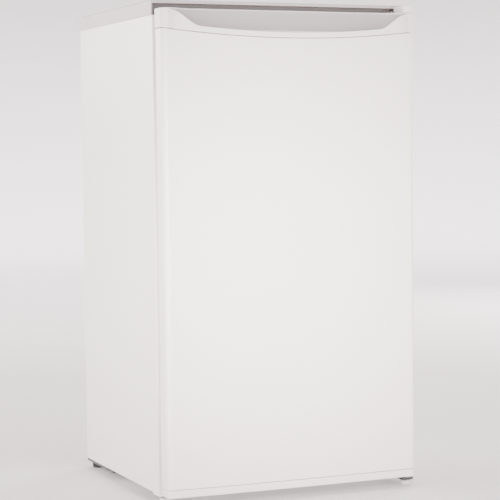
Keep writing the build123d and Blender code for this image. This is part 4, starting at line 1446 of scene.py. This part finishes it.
@dataclass
class HingesAndFeet(SubAssembly):
    """Top hinge under its cover, bottom hinge, and the feet."""

    def feet(self) -> None:
        """Levelling feet: a lobed pad on a threaded stud, whose radius ripples with height."""
        for side in ("left", "right"):
            low, high = span(f"front_{side}_foot")
            x, y = (low[0] + high[0]) / 2, (low[1] + high[1]) / 2
            r, pad = (high[0] - low[0]) / 2, 8 * MM
            sole = bend((1 * MM, 1 * MM), 1 * MM, 270, 180, 4)
            crown = bend((2 * MM, pad - 2 * MM), 2 * MM, 180, 90, 5)
            profile = np.vstack([sole, crown])
            rim = circle((x, y), r - 0.5 * MM, 96, 12, 0.45 * MM)
            height = np.linspace(pad - 1 * MM, high[2], 160)
            thread = (2.65 + 0.3 * np.sin(2 * np.pi * height / (1.25 * MM))) * MM
            stud = drum((x, y), np.column_stack([thread, height]), count=20)
            parts = [carried(rim, profile[:, 0], profile[:, 1]), stud]
            name, node = f"{side}_levelling_foot", f"front_{side}_foot"
            self.add(name, parts, Slot.GREY_PLASTIC, [node], f"{side}_foot")
        low, high = span("rear_feet")
        middle = (low[1] + high[1]) / 2
        pads = [circle((side * 214 * MM, middle), 12 * MM, 64) for side in (-1, 1)]
        parts = [slab(pad, low[2], high[2], (2 * MM, 0.8 * MM)) for pad in pads]
        self.add("rear_pads", parts, Slot.BLACK_RUBBER, ["rear_feet"])

    def cover(self) -> None:
        """Cap over the top hinge: rounded front corners and a softened top edge."""
        low, high = span("top_hinge_cover")
        outline = rounded(low[:2], high[:2], (0.8 * MM, 0.8 * MM, 6 * MM, 6 * MM), 9)
        patch = slab(outline, low[2], high[2], (0.4 * MM, 1.8 * MM))
        self.add("hinge_cap", [patch], Slot.WHITE_PLASTIC, ["top_hinge_cover"])

    def build(self) -> None:
        """Makes the hinges' pieces and the feet."""
        self.feet()
        self.cover()
        self.keep("top_hinge_bracket", "bottom_hinge_bracket", edge=0.4 * MM)
        self.keep("bottom_hinge_pin", "hinge_washer", "cover_and_hinge_screws")


# ---------------------------------------------------------------- studio
@dataclass
class Studio:
    """Round seamless backdrop, soft lights and the camera."""

    floor_radius: float = 6.5
    sweep: float = 3.0
    paper: Colour = (0.80, 0.79, 0.79)
    warm: Colour = (1.0, 0.88, 0.875)
    azimuth: float = -23.08
    elevation: float = 3.33
    roll: float = -0.647
    distance: float = 2.901
    lens: float = 123.3
    target_x: float = -0.0617
    target_z: float = 0.4204

    def backdrop(self) -> None:
        """A round floor that turns up into a wall: radius r along the floor, then a quarter circle."""
        floor = np.column_stack([np.geomspace(0.05, self.floor_radius, 14)[:-1], np.zeros(13)])
        turn = bend((self.floor_radius, self.sweep), self.sweep, 270, 360, 16)
        profile = np.vstack([floor, turn, [(self.floor_radius + self.sweep, 2.4 * self.sweep)]])
        angles = np.linspace(0, 2 * np.pi, 97)[:-1]
        ring = np.stack([np.cos(angles), np.sin(angles)], axis=-1)
        plane = profile[:, None, :1] * ring[None]
        height = np.broadcast_to(profile[:, 1:, None], (*plane.shape[:2], 1))
        points, quads = lattice(np.concatenate([plane, height], axis=-1))
        mesh = bpy.data.meshes.new("studio_paper")
        mesh.from_pydata(np.vstack([points, [(0, 0, 0)]]), [], [*quads.tolist(), *[
            (len(points), a, (a + 1) % 96) for a in range(96)]])
        mesh.shade_smooth()
        paper = bpy.data.objects.new("studio_paper", mesh)
        bpy.context.scene.collection.objects.link(paper)
        mesh.materials.append(Paper("studio_paper", self.paper, 0.9).make())

    def lamp(
        self,
        name: str,
        place: Sequence[float],
        size: float,
        power: float,
        colour: Colour,
        aim: Sequence[float] = (0.0, 0.0, 0.45),
    ) -> None:
        """A square soft light that faces the refrigerator's middle, or another point."""
        light = bpy.data.lights.new(name, "AREA")
        light.shape, light.size, light.energy, light.color = "SQUARE", size, power, colour
        lamp = bpy.data.objects.new(name, light)
        lamp.location = place
        lamp.rotation_euler = (Vector(aim) - Vector(place)).to_track_quat("-Z", "Y").to_euler()
        bpy.context.scene.collection.objects.link(lamp)

    def pool(
        self, name: str, place: Sequence[float], power: float, spread: float, aim: Sequence[float]
    ) -> None:
        """A round pool of light that fades from its middle to its edge."""
        light = bpy.data.lights.new(name, "SPOT")
        light.energy, light.color, light.shadow_soft_size = power, self.warm, 0.25
        light.spot_size, light.spot_blend = math.radians(spread), 1.0
        lamp = bpy.data.objects.new(name, light)
        lamp.location = place
        lamp.rotation_euler = (Vector(aim) - Vector(place)).to_track_quat("-Z", "Y").to_euler()
        bpy.context.scene.collection.objects.link(lamp)

    def lights(self) -> None:
        """An even sky, weak soft lights all round, and a pool of light on the front and on the side."""
        world = bpy.data.worlds.new("studio_sky")
        world.use_nodes = True
        sky = world.node_tree.nodes["Background"]
        sky.inputs["Color"].default_value = (1.0, 0.88, 0.875, 1.0)
        sky.inputs["Strength"].default_value = 0.5
        bpy.context.scene.world = world
        self.lamp("key", (1.0, -3.8, 0.6), 1.0, 60, self.warm)
        self.lamp("fill", (-3.4, -1.2, 0.5), 1.2, 40, self.warm)
        self.lamp("overhead", (0.2, 0.3, 3.2), 1.6, 40, self.warm)
        self.lamp("rear_left", (-2.2, 3.4, 1.6), 1.6, 150, self.warm)
        self.lamp("rear_right", (3.0, 2.4, 1.6), 1.6, 150, self.warm)
        self.pool("front_pool", (-1.25, -3.2, 0.62), 1750, 18, (0.0, -0.22, 0.4))
        self.pool("side_pool", (-3.4, -1.2, 0.5), 430, 19, (-0.23, -0.05, 0.38))

    def camera(self) -> None:
        """Looks along the azimuth and elevation at the target, with a small roll."""
        turn, lift, roll = (math.radians(v) for v in (self.azimuth, self.elevation, self.roll))
        back = Vector((math.sin(turn) * math.cos(lift), -math.cos(turn) * math.cos(lift), math.sin(lift)))
        right = Vector((math.cos(turn), math.sin(turn), 0.0))
        up = back.cross(right)
        across = right * math.cos(roll) + up * math.sin(roll)
        turned = Matrix((across, up * math.cos(roll) - right * math.sin(roll), back)).transposed()
        target = Vector((self.target_x, span("cabinet_wrapper")[0][1], self.target_z))
        data = bpy.data.cameras.new("camera")
        data.lens, data.sensor_width = self.lens, 36.0
        camera = bpy.data.objects.new("camera", data)
        camera.matrix_world = Matrix.Translation(target + back * self.distance) @ turned.to_4x4()
        bpy.context.scene.collection.objects.link(camera)
        bpy.context.scene.camera = camera

    def build(self) -> None:
        """Sets up the studio."""
        self.backdrop()
        self.lights()
        self.camera()


def main() -> None:
    """Builds the refrigerator round its frame."""
    logging.basicConfig(level=logging.INFO, format="%(name)s: %(message)s")
    finishes = {slot: finish.make() for slot, finish in FINISHES.items()}
    for maker in (Cabinet, Worktop, Door, ColdSpace, Machine, HingesAndFeet):
        maker(finishes).build()
    Studio().build()


if __name__ == "__main__":
    main()
